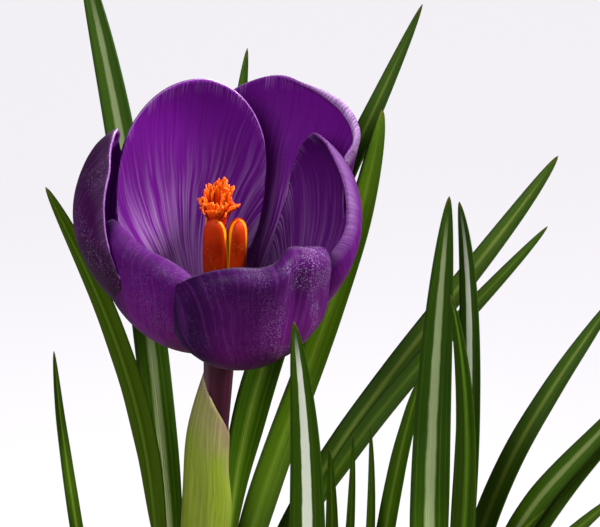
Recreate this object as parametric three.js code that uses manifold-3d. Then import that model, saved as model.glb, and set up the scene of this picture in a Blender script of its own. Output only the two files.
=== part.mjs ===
// Potted crocus in bloom, in millimetres, +Z up.
// The origin is the centre of the pot's foot, and the bloom opens toward -Y.
import * as THREE from 'three';
import { mergeVertices } from 'three/addons/utils/BufferGeometryUtils.js';
import Module from 'manifold-3d';

const wasm = await Module();
wasm.setup();

// Driving dimensions
const GAP = 0.3;
const POT = {
  height: 98, topRadius: 59, bandFoot: 72, bandRadius: 57, neckRadius: 52.5, footRadius: 41,
  floor: 6, floorRadius: 35.5, mouthRadius: 53, lip: 2, sides: 40,
};
const DRAIN = { count: 3, radius: 4.5, from: 21 };
const SOIL = { top: 88, edgeDrop: 1.2, lumps: 0.7 };
const BLOOM = {
  throat: [-13.4, 0, 158.2], tilt: 15, thick: 0.7, clawRadius: 2.4, rows: 13, columns: 8,
};
const TUBE = { footRadius: 1.7, topRadius: 2.15, bore: 1.5, boreDepth: 9, bell: 3.1, sides: 12 };
const SPATHE = {
  radii: [3, 3, 3.2, 3.6, 4.1, 4.3, 4.4, 4.15, 3.7], aside: [0, 0, 0, 0.1, 0.3, 0.4, 0.6, 1.3, 1.1],
  wall: 0.6, low: 135.7, high: 148.5, taper: 0.44, sides: 12,
};
const LEAF = { edge: 0.3, keel: 0.95, groove: 0.05, steps: 11 };
const STAMEN = { from: 12, length: 12.8, thick: 2.6, filament: 0.3 };
const STAMENS = [
  { azimuth: 263, distance: 2.4, width: 4.4 }, { azimuth: 345, distance: 3.5, width: 4.2 },
  { azimuth: 105, distance: 2.2, width: 3.6 },
];
const STYLE = { radius: 0.4, stigmaFrom: 24, stigmaTop: 31, lobeWidth: 4.6, lobes: 3 };

// Widths of a tepal, from its claw to its crown, as shares of its half width
const TEPAL_WIDTHS = [0.09, 0.42, 0.72, 0.91, 0.99, 1];

// Each tepal: the way it faces, its length and half width, how far it swings round as it rises, how
// high its shoulders reach as a share of its middle, how its spine leans away from the bloom's axis and
// how deeply it is cupped, from claw to crown. The crown may roll in, and so may the sides from a share
// of the height, over the given width, and the crest may dip, or rise, at a place across.
const TEPALS = [
  { azimuth: 122, length: 45.8, half: 13.8, swing: -18, shoulder: 0.6,
    lean: [56, 42, 22, 6, 6, -10], cup: [0.6, 0.65, 0.7, 0.7, 0.65, 0.65] },
  { azimuth: 67, length: 49, half: 15.8, swing: -12, shoulder: 0.8,
    lean: [80, 60, 35, 18, 18, -4], cup: [0.5, 0.62, 0.72, 0.9, 1.15, 1.25],
    roll: { crown: [110, 120, 70, 0, 0], sides: [70, 0], width: 3.2, from: 0.6 },
    dip: { at: -0.6, width: 0.35, depth: -0.035 } },
  { azimuth: 2, length: 45.5, half: 17, swing: 20, shoulder: 0.6,
    lean: [72, 61, 36, 20, -6, -50], cup: [0.68, 0.9, 0.97, 0.95, 0.95, 1.1],
    roll: { crown: [40, 20, 0, 0, 0], sides: [60, 0], width: 4, from: 0.35 } },
  { azimuth: 290, length: 43, half: 17.5, swing: 4, shoulder: 0.6,
    lean: [74, 68, 52, 6, 10, 8], cup: [0.65, 1.05, 1.3, 1.3, 1.3, 1.3],
    roll: { crown: [110, 110, 110, 110, 110], sides: [60, 60], width: 4.5, from: 0.35 },
    dip: { at: -0.02, width: 0.27, depth: 0.055 } },
  { azimuth: 230, length: 38.2, half: 15, swing: -10, shoulder: 0.6,
    lean: [62, 60, 42, 12, 4, 4], cup: [0.65, 0.85, 0.9, 0.9, 0.95, 0.95],
    roll: { crown: [90, 90, 90, 90, 90], sides: [30, 0], width: 4.5, from: 0.35 },
    dip: { at: 0.15, width: 0.35, depth: 0.05 } },
  { azimuth: 184, length: 50, half: 15.3, swing: -9, shoulder: 0.62,
    lean: [60, 54, 38, 14, -20, -52], cup: [0.8, 1.1, 1.25, 1.4, 1.5, 1.5] },
];
const FLAT = {
  roll: { crown: [0, 0, 0, 0, 0], sides: [0, 0], width: 3, from: 0.35 },
  dip: { at: 0, width: 1, depth: 0 },
};

// Each shoot: its centre on the soil, the radii of its corm and sheath, the ring that its leaves stand
// in, and its leaves. A leaf has its place on the ring, its lower bend measured from the shoot's centre
// on the soil, its upper bend and tip in the pot's frame, its width, the way its upper face looks and
// how blunt it ends.
const SHOOTS = [
  { name: 'main', at: [-17.5, 3], corm: 10, sheath: 7.3, ring: 4.5, leaves: [
    { on: 125, bend: [-6, 8, 36], over: [-25, 17, 172], tip: [-37, 25, 219], width: 5.8,
      face: 265, blunt: 7 },
    { on: 180, bend: [-7, 2, 40], over: [-23, 4, 146], tip: [-42, 4, 184], width: 4.3,
      face: 75, blunt: 7 },
    { on: 80, bend: [1, 7, 35], over: [-15, 19, 156], tip: [-9, 27, 202], width: 4.2,
      face: 262, blunt: 5 },
    { on: 40, bend: [2.5, 6, 34], over: [8, 11, 154], tip: [14, 20, 193], width: 5.4,
      face: 285, blunt: 8 },
  ] },
  { name: 'back', at: [-10, 20], corm: 8, sheath: 4.6, ring: 2.2, leaves: [
    { on: 170, bend: [-7.5, 0, 50], over: [0, 24, 161], tip: [21, 30, 209], width: 7,
      face: 250, blunt: 2.2 },
    { on: 50, bend: [-5, 2, 24], over: [25, 26, 152], tip: [45, 30, 182], width: 4.6,
      face: 235, blunt: 6 },
    { on: 310, bend: [4, -1, 34], over: [21, 21, 146], tip: [43, 24, 171], width: 3.9,
      face: 240, blunt: 4 },
  ] },
  { name: 'middle', at: [8, 5], corm: 6.5, sheath: 4.6, ring: 2.2, leaves: [
    { on: 60, bend: [6, 2, 24], over: [15, 8, 130], tip: [21, 8, 150], width: 3.6,
      face: 240, blunt: 5 },
    { on: 200, bend: [-3, -1, 17], over: [6, 1, 122], tip: [5, 0, 139], width: 2.9,
      face: 270, blunt: 3 },
    { on: 250, bend: [-1, -2, 15], over: [9, 1, 122], tip: [9, 2, 141], width: 2,
      face: 270, blunt: 3 },
    { on: 330, bend: [3, -1, 16], over: [13, 5, 122], tip: [12, 6, 141], width: 2,
      face: 270, blunt: 3 },
  ] },
  { name: 'front', at: [1, -31], corm: 8, sheath: 4.6, ring: 2.2, leaves: [
    { on: 90, bend: [-1, 2, 31], over: [3, -30, 142], tip: [-1, -32, 173], width: 6.5,
      face: 272, blunt: 3.2 },
    { on: 210, bend: [-2, -1, 9], over: [-5, -35, 104], tip: [-9, -39, 114], width: 3,
      face: 30, blunt: 3 },
    { on: 330, bend: [2, -1, 8], over: [6, -34, 103], tip: [11, -37, 111], width: 3,
      face: 150, blunt: 3 },
  ] },
  { name: 'right', at: [24, -13], corm: 10, sheath: 4.6, ring: 2.2, leaves: [
    { on: 150, bend: [-3, 2, 35], over: [21, -10, 150], tip: [24, -8, 186], width: 7.1,
      face: 268, blunt: 3 },
    { on: 50, bend: [1, 3, 20], over: [31, -5, 157], tip: [26, -1, 183], width: 4.4,
      face: 258, blunt: 4 },
    { on: 280, bend: [-1, -3, 23], over: [31, -17, 141], tip: [24, -16, 172], width: 4.2,
      face: 90, blunt: 3.4 },
  ] },
  { name: 'far_right', at: [29, 7], corm: 8, sheath: 4.6, ring: 2.2, leaves: [
    { on: 80, bend: [-4, 4, 30], over: [38, 13, 137], tip: [55, 16, 162], width: 4.6,
      face: 240, blunt: 4 },
    { on: 345, bend: [1, -1, 40], over: [45, 4, 129], tip: [59, 3, 152], width: 4.6,
      face: 240, blunt: 4 },
    { on: 25, bend: [3, 1, 22], over: [43, 9, 126], tip: [58, 10, 142], width: 3.6,
      face: 230, blunt: 4 },
    { on: 290, bend: [1.5, -3, 14], over: [38, -1, 118], tip: [55, -1, 132], width: 3.4,
      face: 230, blunt: 4 },
    { on: 220, bend: [-1, -3, 13], over: [31, -1, 119], tip: [41, -5, 130], width: 2.4,
      face: 240, blunt: 3 },
  ] },
  { name: 'left', at: [-34, 9], corm: 7, sheath: 4.6, ring: 2.2, leaves: [
    { on: 190, bend: [-2, 0, 20], over: [-41, 9, 130], tip: [-42, 10, 153], width: 2.7,
      face: 300, blunt: 3 },
    { on: 70, bend: [1, 2, 10], over: [-32, 14, 105], tip: [-30, 19, 115], width: 2.8,
      face: 260, blunt: 3 },
    { on: 310, bend: [1.5, -2, 9], over: [-31, 5, 102], tip: [-27, 2, 110], width: 2.8,
      face: 130, blunt: 3 },
  ] },
];

// Stem base of a shoot, inside its sheath
const PLUG_FOOT = SOIL.top - 9.7;
const PLUG_FLOOR = 3;
const SHEATH = { wall: 0.7, sides: 12, rise: 6, flare: 1.3 };
const CORM = { depth: 22, flatness: 0.8, rows: 6 };

const COLORS = {
  pot: 0xb4633d, soil: 0x3a2a20, sheath: 0xcfc6a6, leaf: 0x3f6d1e, bloom: 0x6a1fa0,
  spathe: 0xa6a04a, stamen: 0xe07a10, style: 0xff5a0a,
};

const group = new THREE.Group();

function addPart(name, geometry, color, roughness) {
  geometry.computeVertexNormals();
  const material = new THREE.MeshStandardMaterial({ color, roughness, metalness: 0 });
  const mesh = new THREE.Mesh(geometry, material);
  mesh.name = name;
  group.add(mesh);
}

// Smooth curve through evenly spaced values
function along(values, x) {
  const last = values.length - 1;
  const place = THREE.MathUtils.clamp(x, 0, 1) * last;
  const i = Math.min(Math.floor(place), last - 1);
  const f = place - i;
  const b = values[i];
  const c = values[i + 1];
  const a = i > 0 ? values[i - 1] : 2 * b - c;
  const d = i < last - 1 ? values[i + 2] : 2 * c - b;
  return 0.5 * (2 * b + (c - a) * f + (2 * a - 5 * b + 4 * c - d) * f * f
    + (3 * b - a - 3 * c + d) * f * f * f);
}

// Geometry from points and triangles, turned so that its faces point out
function closedGeometry(points, triangles) {
  const position = new Float32Array(points.flatMap((p) => [p.x, p.y, p.z]));
  const geometry = new THREE.BufferGeometry();
  geometry.setAttribute('position', new THREE.BufferAttribute(position, 3));
  let volume = 0;
  for (const [a, b, c] of triangles) {
    volume += points[a].dot(points[b].clone().cross(points[c]));
  }
  const turned = volume < 0 ? triangles.map(([a, b, c]) => [a, c, b]) : triangles;
  geometry.setIndex(turned.flat());
  return geometry;
}

// Skin over a row of rings that have the same number of points, its ends capped
function skinGeometry(rings, closed = false) {
  const count = rings[0].length;
  const points = rings.flat();
  const triangles = [];
  const last = closed ? rings.length : rings.length - 1;
  for (let i = 0; i < last; i += 1) {
    const here = i * count;
    const next = ((i + 1) % rings.length) * count;
    for (let j = 0; j < count; j += 1) {
      const k = (j + 1) % count;
      triangles.push([here + j, next + j, next + k], [here + j, next + k, here + k]);
    }
  }
  if (!closed) {
    const lastRing = (rings.length - 1) * count;
    for (let j = 1; j < count - 1; j += 1) {
      triangles.push([0, j, j + 1], [lastRing, lastRing + j + 1, lastRing + j]);
    }
  }
  return closedGeometry(points, triangles);
}

// Shell of even thickness round a surface given by a function of s and t, both faces split alike
function shellGeometry(surface, sCells, tCells, thickness) {
  const step = 1e-3;
  const front = [];
  const back = [];
  for (let i = 0; i <= sCells; i += 1) {
    for (let j = 0; j <= tCells; j += 1) {
      const s = i / sCells;
      const t = Math.sin(Math.PI * (j / tCells - 0.5));
      const inside = THREE.MathUtils.clamp(t, -0.995, 0.995);
      const alongS = surface(s + step, inside).sub(surface(s - step, inside));
      const alongT = surface(s, inside + step).sub(surface(s, inside - step));
      const normal = alongS.cross(alongT).normalize().multiplyScalar(thickness / 2);
      const middle = surface(s, t);
      front.push(middle.clone().add(normal));
      back.push(middle.clone().sub(normal));
    }
  }
  const row = tCells + 1;
  const faces = front.length;
  const triangles = [];
  const wall = (a, b) => triangles.push([a, b, faces + b], [a, faces + b, faces + a]);
  for (let i = 0; i < sCells; i += 1) {
    for (let j = 0; j < tCells; j += 1) {
      const a = i * row + j;
      const b = a + 1;
      const c = a + row;
      const d = c + 1;
      triangles.push([a, b, d], [a, d, c]);
      triangles.push([faces + a, faces + d, faces + b], [faces + a, faces + c, faces + d]);
    }
    wall(i * row, (i + 1) * row);
    wall((i + 1) * row + tCells, i * row + tCells);
  }
  for (let j = 0; j < tCells; j += 1) {
    wall(j + 1, j);
    wall(sCells * row + j, sCells * row + j + 1);
  }
  return closedGeometry([...front, ...back], triangles);
}

// Solids for the boolean library
function toSolid(geometry) {
  const bare = new THREE.BufferGeometry();
  bare.setAttribute('position', geometry.getAttribute('position').clone());
  if (geometry.index) bare.setIndex(geometry.index.clone());
  const merged = mergeVertices(bare, 1e-4);
  return new wasm.Manifold(new wasm.Mesh({
    numProp: 3,
    vertProperties: new Float32Array(merged.getAttribute('position').array),
    triVerts: new Uint32Array(merged.index.array),
  }));
}

function toGeometry(solid) {
  const mesh = solid.getMesh();
  const geometry = new THREE.BufferGeometry();
  geometry.setAttribute('position', new THREE.BufferAttribute(new Float32Array(mesh.vertProperties), 3));
  geometry.setIndex(new THREE.BufferAttribute(new Uint32Array(mesh.triVerts), 1));
  return geometry;
}

// Join, keeping the one large body where a join leaves a loose scrap or a sealed pocket
function fuse(geometries) {
  const joined = geometries.map(toSolid).reduce((sum, solid) => sum.add(solid));
  const bodies = joined.decompose();
  return toGeometry(bodies.reduce((best, body) => (body.volume() > best.volume() ? body : best)));
}

function cut(geometry, tools) {
  return toGeometry(tools.reduce((rest, tool) => rest.subtract(toSolid(tool)), toSolid(geometry)));
}

function lathe(profile, sides, x = 0, y = 0) {
  const geometry = new THREE.LatheGeometry(profile.map(([r, z]) => new THREE.Vector2(r, z)), sides);
  geometry.rotateX(Math.PI / 2);
  geometry.translate(x, y, 0);
  return geometry;
}

function circle(center, right, up, radius, sides) {
  return Array.from({ length: sides }, (_, i) => {
    const angle = (i / sides) * 2 * Math.PI;
    return center.clone()
      .addScaledVector(right, radius * Math.cos(angle))
      .addScaledVector(up, radius * Math.sin(angle));
  });
}

// Pot and soil
function potInside(z) {
  return THREE.MathUtils.mapLinear(z, POT.floor, POT.height, POT.floorRadius, POT.mouthRadius);
}

function potGeometry() {
  const body = lathe([
    [0, 0], [POT.footRadius, 0], [POT.neckRadius, POT.bandFoot], [POT.bandRadius, POT.bandFoot],
    [POT.topRadius, POT.height - POT.lip], [POT.topRadius - POT.lip, POT.height],
    [potInside(POT.height) + 1, POT.height], [potInside(POT.height - 1), POT.height - 1],
    [potInside(POT.floor), POT.floor], [0, POT.floor],
  ], POT.sides);
  const holes = Array.from({ length: DRAIN.count }, (_, i) => {
    const angle = (i / DRAIN.count) * 2 * Math.PI;
    const hole = new THREE.CylinderGeometry(DRAIN.radius, DRAIN.radius, POT.floor * 3, 16);
    hole.rotateX(Math.PI / 2);
    hole.translate(DRAIN.from * Math.cos(angle), DRAIN.from * Math.sin(angle), POT.floor / 2);
    return hole;
  });
  return cut(body, holes);
}

// Corm with its sheath, grown by a margin where it is the pit for it
function cormProfile(shoot, margin) {
  const centre = SOIL.top - CORM.depth;
  const profile = [[0, centre - shoot.corm * CORM.flatness - margin]];
  for (let i = 1; i < CORM.rows; i += 1) {
    const angle = (i / CORM.rows) * Math.PI - Math.PI / 2;
    const radius = shoot.corm * Math.cos(angle);
    if (angle > 0 && radius < shoot.sheath) break;
    profile.push([radius + margin, centre + shoot.corm * CORM.flatness * Math.sin(angle)]);
  }
  profile.push([shoot.sheath + margin, PLUG_FOOT - 1]);
  return profile;
}

function cormGeometry(shoot) {
  const top = SOIL.top + SHEATH.rise;
  const inside = shoot.sheath - SHEATH.wall;
  return lathe([
    ...cormProfile(shoot, 0), [shoot.sheath, SOIL.top + 0.5], [shoot.sheath + SHEATH.flare, top],
    [inside + SHEATH.flare, top], [inside, SOIL.top], [inside, PLUG_FOOT - GAP], [0, PLUG_FOOT - GAP],
  ], SHEATH.sides, ...shoot.at);
}

function soilGeometry() {
  const rim = potInside(SOIL.top) - GAP;
  const soil = lathe([
    [0, POT.floor + GAP], [potInside(POT.floor) - GAP, POT.floor + GAP], [rim, SOIL.top - SOIL.edgeDrop],
    [rim * 0.8, SOIL.top], [rim * 0.5, SOIL.top], [rim * 0.25, SOIL.top], [0, SOIL.top],
  ], POT.sides);
  const position = soil.getAttribute('position');
  for (let i = 0; i < position.count; i += 1) {
    if (position.getZ(i) > SOIL.top - 0.1) {
      const lump = Math.sin(position.getX(i) * 0.31) * Math.cos(position.getY(i) * 0.27 + 1);
      position.setZ(i, SOIL.top + SOIL.lumps * lump);
    }
  }
  const pits = SHOOTS.map((shoot) => lathe([
    ...cormProfile(shoot, GAP), [shoot.sheath + GAP, SOIL.top + 5], [0, SOIL.top + 5],
  ], SHEATH.sides, ...shoot.at));
  return cut(soil, pits);
}

// A leaf: a keeled strip along its midrib, turned from the shoot's centre to the way it faces
function leafGeometry(shoot, leaf) {
  const [cx, cy] = shoot.at;
  const on = THREE.MathUtils.degToRad(leaf.on);
  const foot = new THREE.Vector3(
    cx + shoot.ring * Math.cos(on), cy + shoot.ring * Math.sin(on), PLUG_FOOT + PLUG_FLOOR);
  const bend = new THREE.Vector3(cx + leaf.bend[0], cy + leaf.bend[1], SOIL.top + leaf.bend[2]);
  const midrib = new THREE.CubicBezierCurve3(
    foot, bend, new THREE.Vector3(...leaf.over), new THREE.Vector3(...leaf.tip));
  const turn = THREE.MathUtils.euclideanModulo(leaf.face - leaf.on, 360) - 180;
  const steps = Math.max(6, Math.round(LEAF.steps * Math.min(1, midrib.getLength() / 90)));
  const rings = [];
  for (let i = 0; i <= steps; i += 1) {
    const s = 1 - (1 - i / steps) ** 1.25;
    const tangent = midrib.getTangent(s);
    const turned = THREE.MathUtils.degToRad(turn) * THREE.MathUtils.smoothstep(s, 0.1, 0.6);
    const angle = on + Math.PI + turned;
    const upper = new THREE.Vector3(Math.cos(angle), Math.sin(angle), 0);
    upper.addScaledVector(tangent, -upper.dot(tangent)).normalize();
    const side = tangent.clone().cross(upper);
    const swell = 0.6 + 0.4 * THREE.MathUtils.smoothstep(s, 0.05, 0.4);
    const half = Math.max(0.3, (leaf.width / 2) * swell * (1 - s ** leaf.blunt) ** 0.6);
    const keel = Math.min(LEAF.keel, 0.3 + half * 0.5);
    const section = [
      [-half, LEAF.edge], [0, LEAF.groove], [half, LEAF.edge], [half, -LEAF.edge],
      [half * 0.25, -keel * 0.6], [0, -keel], [-half * 0.25, -keel * 0.6], [-half, -LEAF.edge],
    ];
    const center = midrib.getPoint(s);
    rings.push(section.map(([a, b]) => center.clone().addScaledVector(side, a).addScaledVector(upper, b)));
  }
  return skinGeometry(rings);
}

function leavesGeometry(shoot) {
  const radius = shoot.sheath - SHEATH.wall - GAP;
  const bore = SPATHE.radii[0] + GAP;
  const boreFloor = PLUG_FOOT + PLUG_FLOOR;
  const stemTop = shoot.name === 'main'
    ? [[bore, SOIL.top], [bore, boreFloor], [0, boreFloor]]
    : [[0, SOIL.top]];
  const profile = [[0, PLUG_FOOT], [radius, PLUG_FOOT], [radius, SOIL.top], ...stemTop];
  const leaves = shoot.leaves.map((leaf) => leafGeometry(shoot, leaf));
  return fuse([lathe(profile, SHEATH.sides, ...shoot.at), ...leaves]);
}

// The bloom's own frame: its axis leans toward the front from the throat
const bloomFrame = new THREE.Matrix4()
  .makeRotationX(THREE.MathUtils.degToRad(BLOOM.tilt))
  .setPosition(...BLOOM.throat);

// Where a section ends, across and inward, when it curls and then rolls in over its margin
function section(width, margin, curl, roll) {
  const plain = Math.min(width, margin.from);
  const turned = curl * plain;
  let across = Math.sin(turned) / curl;
  let inward = (1 - Math.cos(turned)) / curl;
  if (width > plain) {
    const tight = curl + roll / margin.width;
    const end = turned + tight * (width - plain);
    across += (Math.sin(end) - Math.sin(turned)) / tight;
    inward += (Math.cos(turned) - Math.cos(end)) / tight;
  }
  return { across, inward };
}

// Surface of a tepal: a leaning spine, with a curved cross-section that follows the cup
function tepalSurface(tepal) {
  const { roll, dip } = { ...FLAT, ...tepal };
  const samples = 80;
  const spine = [{ r: BLOOM.clawRadius, h: 0 }];
  for (let i = 1; i <= samples; i += 1) {
    const lean = THREE.MathUtils.degToRad(along(tepal.lean, (i - 0.5) / samples));
    const before = spine[i - 1];
    spine.push({
      r: before.r + (Math.sin(lean) * tepal.length) / samples,
      h: before.h + (Math.cos(lean) * tepal.length) / samples,
    });
  }
  return (s, t) => {
    const shoulder = tepal.shoulder + (1 - tepal.shoulder) * Math.sqrt(Math.max(0, 1 - t * t));
    const sag = dip.depth * THREE.MathUtils.smoothstep(s, 0.5, 1)
      * Math.exp(-(((t - dip.at) / dip.width) ** 2));
    const rise = shoulder - sag;
    const place = s * rise;
    const i = THREE.MathUtils.clamp(Math.floor(place * samples), 0, samples - 1);
    const between = place * samples - i;
    let r = THREE.MathUtils.lerp(spine[i].r, spine[i + 1].r, between);
    let h = THREE.MathUtils.lerp(spine[i].h, spine[i + 1].h, between);
    const lean = THREE.MathUtils.degToRad(along(tepal.lean, place));
    const half = tepal.half * along(TEPAL_WIDTHS, s);
    const curl = along(tepal.cup, s) / Math.max(r, 2.2);
    const margin = { width: Math.min(roll.width, half * 0.4) };
    margin.from = half - margin.width;
    const fullRoll = THREE.MathUtils.degToRad(roll.sides[t < 0 ? 0 : 1]);
    const sideRoll = fullRoll * THREE.MathUtils.smoothstep(s, roll.from, roll.from + 0.4);
    const bent = section(half * Math.abs(t), margin, curl, sideRoll);
    const crownRoll = THREE.MathUtils.degToRad(along(roll.crown, (1 + t) / 2));
    const rolled = Math.max(0, roll.width - (1 - s) * rise * tepal.length);
    if (crownRoll > 0 && rolled > 0) {
      const bend = (crownRoll / roll.width) * Math.sqrt(rolled / roll.width);
      const lost = rolled - Math.sin(bend * rolled) / bend;
      r -= Math.sin(lean) * lost;
      h -= Math.cos(lean) * lost;
      bent.inward += (1 - Math.cos(bend * rolled)) / bend;
    }
    const azimuth = THREE.MathUtils.degToRad(tepal.azimuth + tepal.swing * place);
    const out = r - Math.cos(lean) * bent.inward;
    const across = Math.sign(t) * bent.across;
    return new THREE.Vector3(
      out * Math.cos(azimuth) - across * Math.sin(azimuth),
      out * Math.sin(azimuth) + across * Math.cos(azimuth),
      h + Math.sin(lean) * bent.inward,
    ).applyMatrix4(bloomFrame);
  };
}

// Line of the flower tube, from the stem base up to the throat
const throat = new THREE.Vector3(...BLOOM.throat);
const bloomAxis = new THREE.Vector3(0, 0, 1).transformDirection(bloomFrame);
const [mainX, mainY] = SHOOTS[0].at;
const tubeFoot = new THREE.Vector3(mainX, mainY, PLUG_FOOT + PLUG_FLOOR + GAP);
const tubeLine = new THREE.CubicBezierCurve3(
  tubeFoot, new THREE.Vector3(mainX, mainY, tubeFoot.z + 35),
  throat.clone().addScaledVector(bloomAxis, -22).setX(BLOOM.throat[0] - 0.8), throat);

function ringOnTube(share, radius, sides) {
  const tangent = tubeLine.getTangent(share);
  const right = new THREE.Vector3(1, 0, 0);
  right.addScaledVector(tangent, -right.dot(tangent)).normalize();
  return circle(tubeLine.getPoint(share), right, tangent.clone().cross(right), radius, sides);
}

function flowerTubeGeometry() {
  const rings = [];
  for (let i = 0; i <= 9; i += 1) {
    const share = (i / 9) * 0.95;
    const radius = THREE.MathUtils.lerp(TUBE.footRadius, TUBE.topRadius, share ** 6);
    rings.push(ringOnTube(share, radius, TUBE.sides));
  }
  const right = new THREE.Vector3(1, 0, 0);
  const front = bloomAxis.clone().cross(right);
  const inThroat = (h, radius) => circle(
    throat.clone().addScaledVector(bloomAxis, h), right, front, radius, TUBE.sides);
  rings.push(inThroat(1, TUBE.bell), inThroat(1, TUBE.bell - 0.9), inThroat(-1.5, TUBE.bore));
  rings.push(inThroat(-TUBE.boreDepth, TUBE.bore));
  return skinGeometry(rings);
}

function bloomGeometry() {
  const { rows, columns, thick } = BLOOM;
  const tepals = TEPALS.map((tepal) => shellGeometry(tepalSurface(tepal), rows, columns, thick));
  return fuse([flowerTubeGeometry(), ...tepals]);
}

// Spathe: a papery tube round the flower tube, longer and tapered on its left side
function spatheGeometry() {
  const { radii, aside, wall, low, high, taper, sides } = SPATHE;
  const foot = tubeFoot.z;
  const sheet = (inset) => radii.map((radius, i) => {
    const share = i / (radii.length - 1);
    const onTube = THREE.MathUtils.clamp((share * (low - foot)) / (throat.z - foot), 0, 1);
    const center = tubeLine.getPoint(onTube);
    const upward = tubeLine.getTangent(onTube);
    return ringOnTube(onTube, radius - inset, sides).map((point) => {
      const left = (1 - (point.x - center.x) / radius) / 2;
      const longer = share ** 3 * Math.sqrt(Math.max(0, left));
      const fromCenter = point.setX(point.x - aside[i]).sub(center)
        .multiplyScalar(1 - taper * longer ** 3);
      return center.clone().add(fromCenter).addScaledVector(upward, longer * (high - low));
    });
  });
  return skinGeometry([...sheet(0), ...sheet(wall).reverse()], true);
}

// Stamens: a thin filament with a long grooved anther
function stamenGeometry({ azimuth, distance, width }) {
  const turn = THREE.MathUtils.degToRad(azimuth);
  const out = new THREE.Vector3(Math.cos(turn), Math.sin(turn), 0);
  const side = new THREE.Vector3(-out.y, out.x, 0);
  const footHeight = -TUBE.boreDepth + GAP;
  const footOut = TUBE.bore - GAP - STAMEN.filament - 0.05;
  const oval = (h, from, wide, thick) => Array.from({ length: 8 }, (_, i) => {
    const angle = (i / 8) * 2 * Math.PI;
    return new THREE.Vector3(0, 0, h)
      .addScaledVector(out, from + (thick / 2) * Math.cos(angle))
      .addScaledVector(side, (wide / 2) * Math.sin(angle));
  });
  const thin = 2 * STAMEN.filament;
  const top = STAMEN.from + STAMEN.length;
  const rings = [
    oval(footHeight, footOut, thin, thin), oval(0, footOut, thin, thin),
    oval(STAMEN.from - 1.5, distance - 0.4, thin, thin),
    oval(STAMEN.from, distance, width * 0.8, STAMEN.thick),
    oval(STAMEN.from + STAMEN.length * 0.3, distance, width, STAMEN.thick),
    oval(STAMEN.from + STAMEN.length * 0.75, distance, width * 0.8, STAMEN.thick),
    oval(top - 0.6, distance, width * 0.45, STAMEN.thick * 0.7),
    oval(top, distance, 0.6, 0.6),
  ];
  return skinGeometry(rings).applyMatrix4(bloomFrame);
}

// Style with its three frilled stigma lobes
function styleGeometry() {
  const right = new THREE.Vector3(1, 0, 0);
  const front = new THREE.Vector3(0, 1, 0);
  const disc = (h, radius) => circle(new THREE.Vector3(0, 0, h), right, front, radius, 8);
  const column = skinGeometry([
    disc(-TUBE.boreDepth + GAP, STYLE.radius), disc(STYLE.stigmaFrom - 3, STYLE.radius),
    disc(STYLE.stigmaFrom + 1, STYLE.radius * 2.2), disc(STYLE.stigmaFrom + 2.5, STYLE.radius * 2),
  ]);
  const lobes = Array.from({ length: STYLE.lobes }, (_, lobe) => {
    const azimuth = (lobe / STYLE.lobes) * 2 * Math.PI + 0.6;
    const rise = STYLE.stigmaTop - STYLE.stigmaFrom - (lobe % 2) * 1.5;
    return shellGeometry((s, t) => {
      const frill = Math.sin(t * 9 + lobe) * 0.55 * s * s;
      const out = 0.3 + 2.4 * s * s + frill;
      const across = (STYLE.lobeWidth / 2) * (0.18 + 0.82 * s) * t;
      const h = STYLE.stigmaFrom + rise * s * (1 - 0.12 * t * t) + 0.5 * s * Math.cos(t * 11 + lobe);
      return new THREE.Vector3(
        out * Math.cos(azimuth) - across * Math.sin(azimuth),
        out * Math.sin(azimuth) + across * Math.cos(azimuth), h);
    }, 4, 8, 0.6);
  });
  return fuse([column, ...lobes]).applyMatrix4(bloomFrame);
}

addPart('pot', potGeometry(), COLORS.pot, 0.85);
addPart('soil', soilGeometry(), COLORS.soil, 0.95);
for (const shoot of SHOOTS) {
  addPart(`corm_${shoot.name}`, cormGeometry(shoot), COLORS.sheath, 0.6);
  addPart(`leaves_${shoot.name}`, leavesGeometry(shoot), COLORS.leaf, 0.45);
}
addPart('spathe', spatheGeometry(), COLORS.spathe, 0.6);
addPart('bloom', bloomGeometry(), COLORS.bloom, 0.55);
STAMENS.forEach((stamen, i) => {
  addPart(`stamen_${i + 1}`, stamenGeometry(stamen), COLORS.stamen, 0.6);
});
addPart('style', styleGeometry(), COLORS.style, 0.55);

export default group;
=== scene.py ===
import math
import random

import bmesh
import bpy
from mathutils import Matrix, Vector, noise


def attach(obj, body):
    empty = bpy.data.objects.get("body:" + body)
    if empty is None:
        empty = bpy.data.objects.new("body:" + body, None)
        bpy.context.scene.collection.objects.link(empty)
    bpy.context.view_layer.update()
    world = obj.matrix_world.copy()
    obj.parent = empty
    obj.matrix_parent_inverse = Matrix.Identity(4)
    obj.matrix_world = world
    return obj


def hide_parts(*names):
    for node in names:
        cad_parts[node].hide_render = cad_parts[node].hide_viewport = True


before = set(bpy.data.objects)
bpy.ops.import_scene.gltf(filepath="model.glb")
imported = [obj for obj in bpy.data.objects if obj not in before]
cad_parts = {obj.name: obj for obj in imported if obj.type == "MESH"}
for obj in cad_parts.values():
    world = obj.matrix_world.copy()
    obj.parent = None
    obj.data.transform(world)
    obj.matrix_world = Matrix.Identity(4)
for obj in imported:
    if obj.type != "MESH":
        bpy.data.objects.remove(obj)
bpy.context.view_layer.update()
mm = 0.001


# camera, lights and floor

view = {
    "target": Vector((0, 0, 172)) * mm,
    "distance": 450 * mm,
    "height": 18,  # degrees above level
    "lens": 163.6,
}


def addObject(name, data):
    made = bpy.data.objects.new(name, data)
    bpy.context.collection.objects.link(made)
    return made


def makeCamera():
    height = math.radians(view["height"])
    back = Vector((0, -math.cos(height), math.sin(height)))
    data = bpy.data.cameras.new("camera")
    data.lens = view["lens"]
    data.sensor_width = 36
    data.clip_start = 0.01
    camera = addObject("camera", data)
    camera.location = view["target"] + back * view["distance"]
    camera.rotation_euler = (-back).to_track_quat("-Z", "Y").to_euler()
    bpy.context.scene.camera = camera


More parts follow.
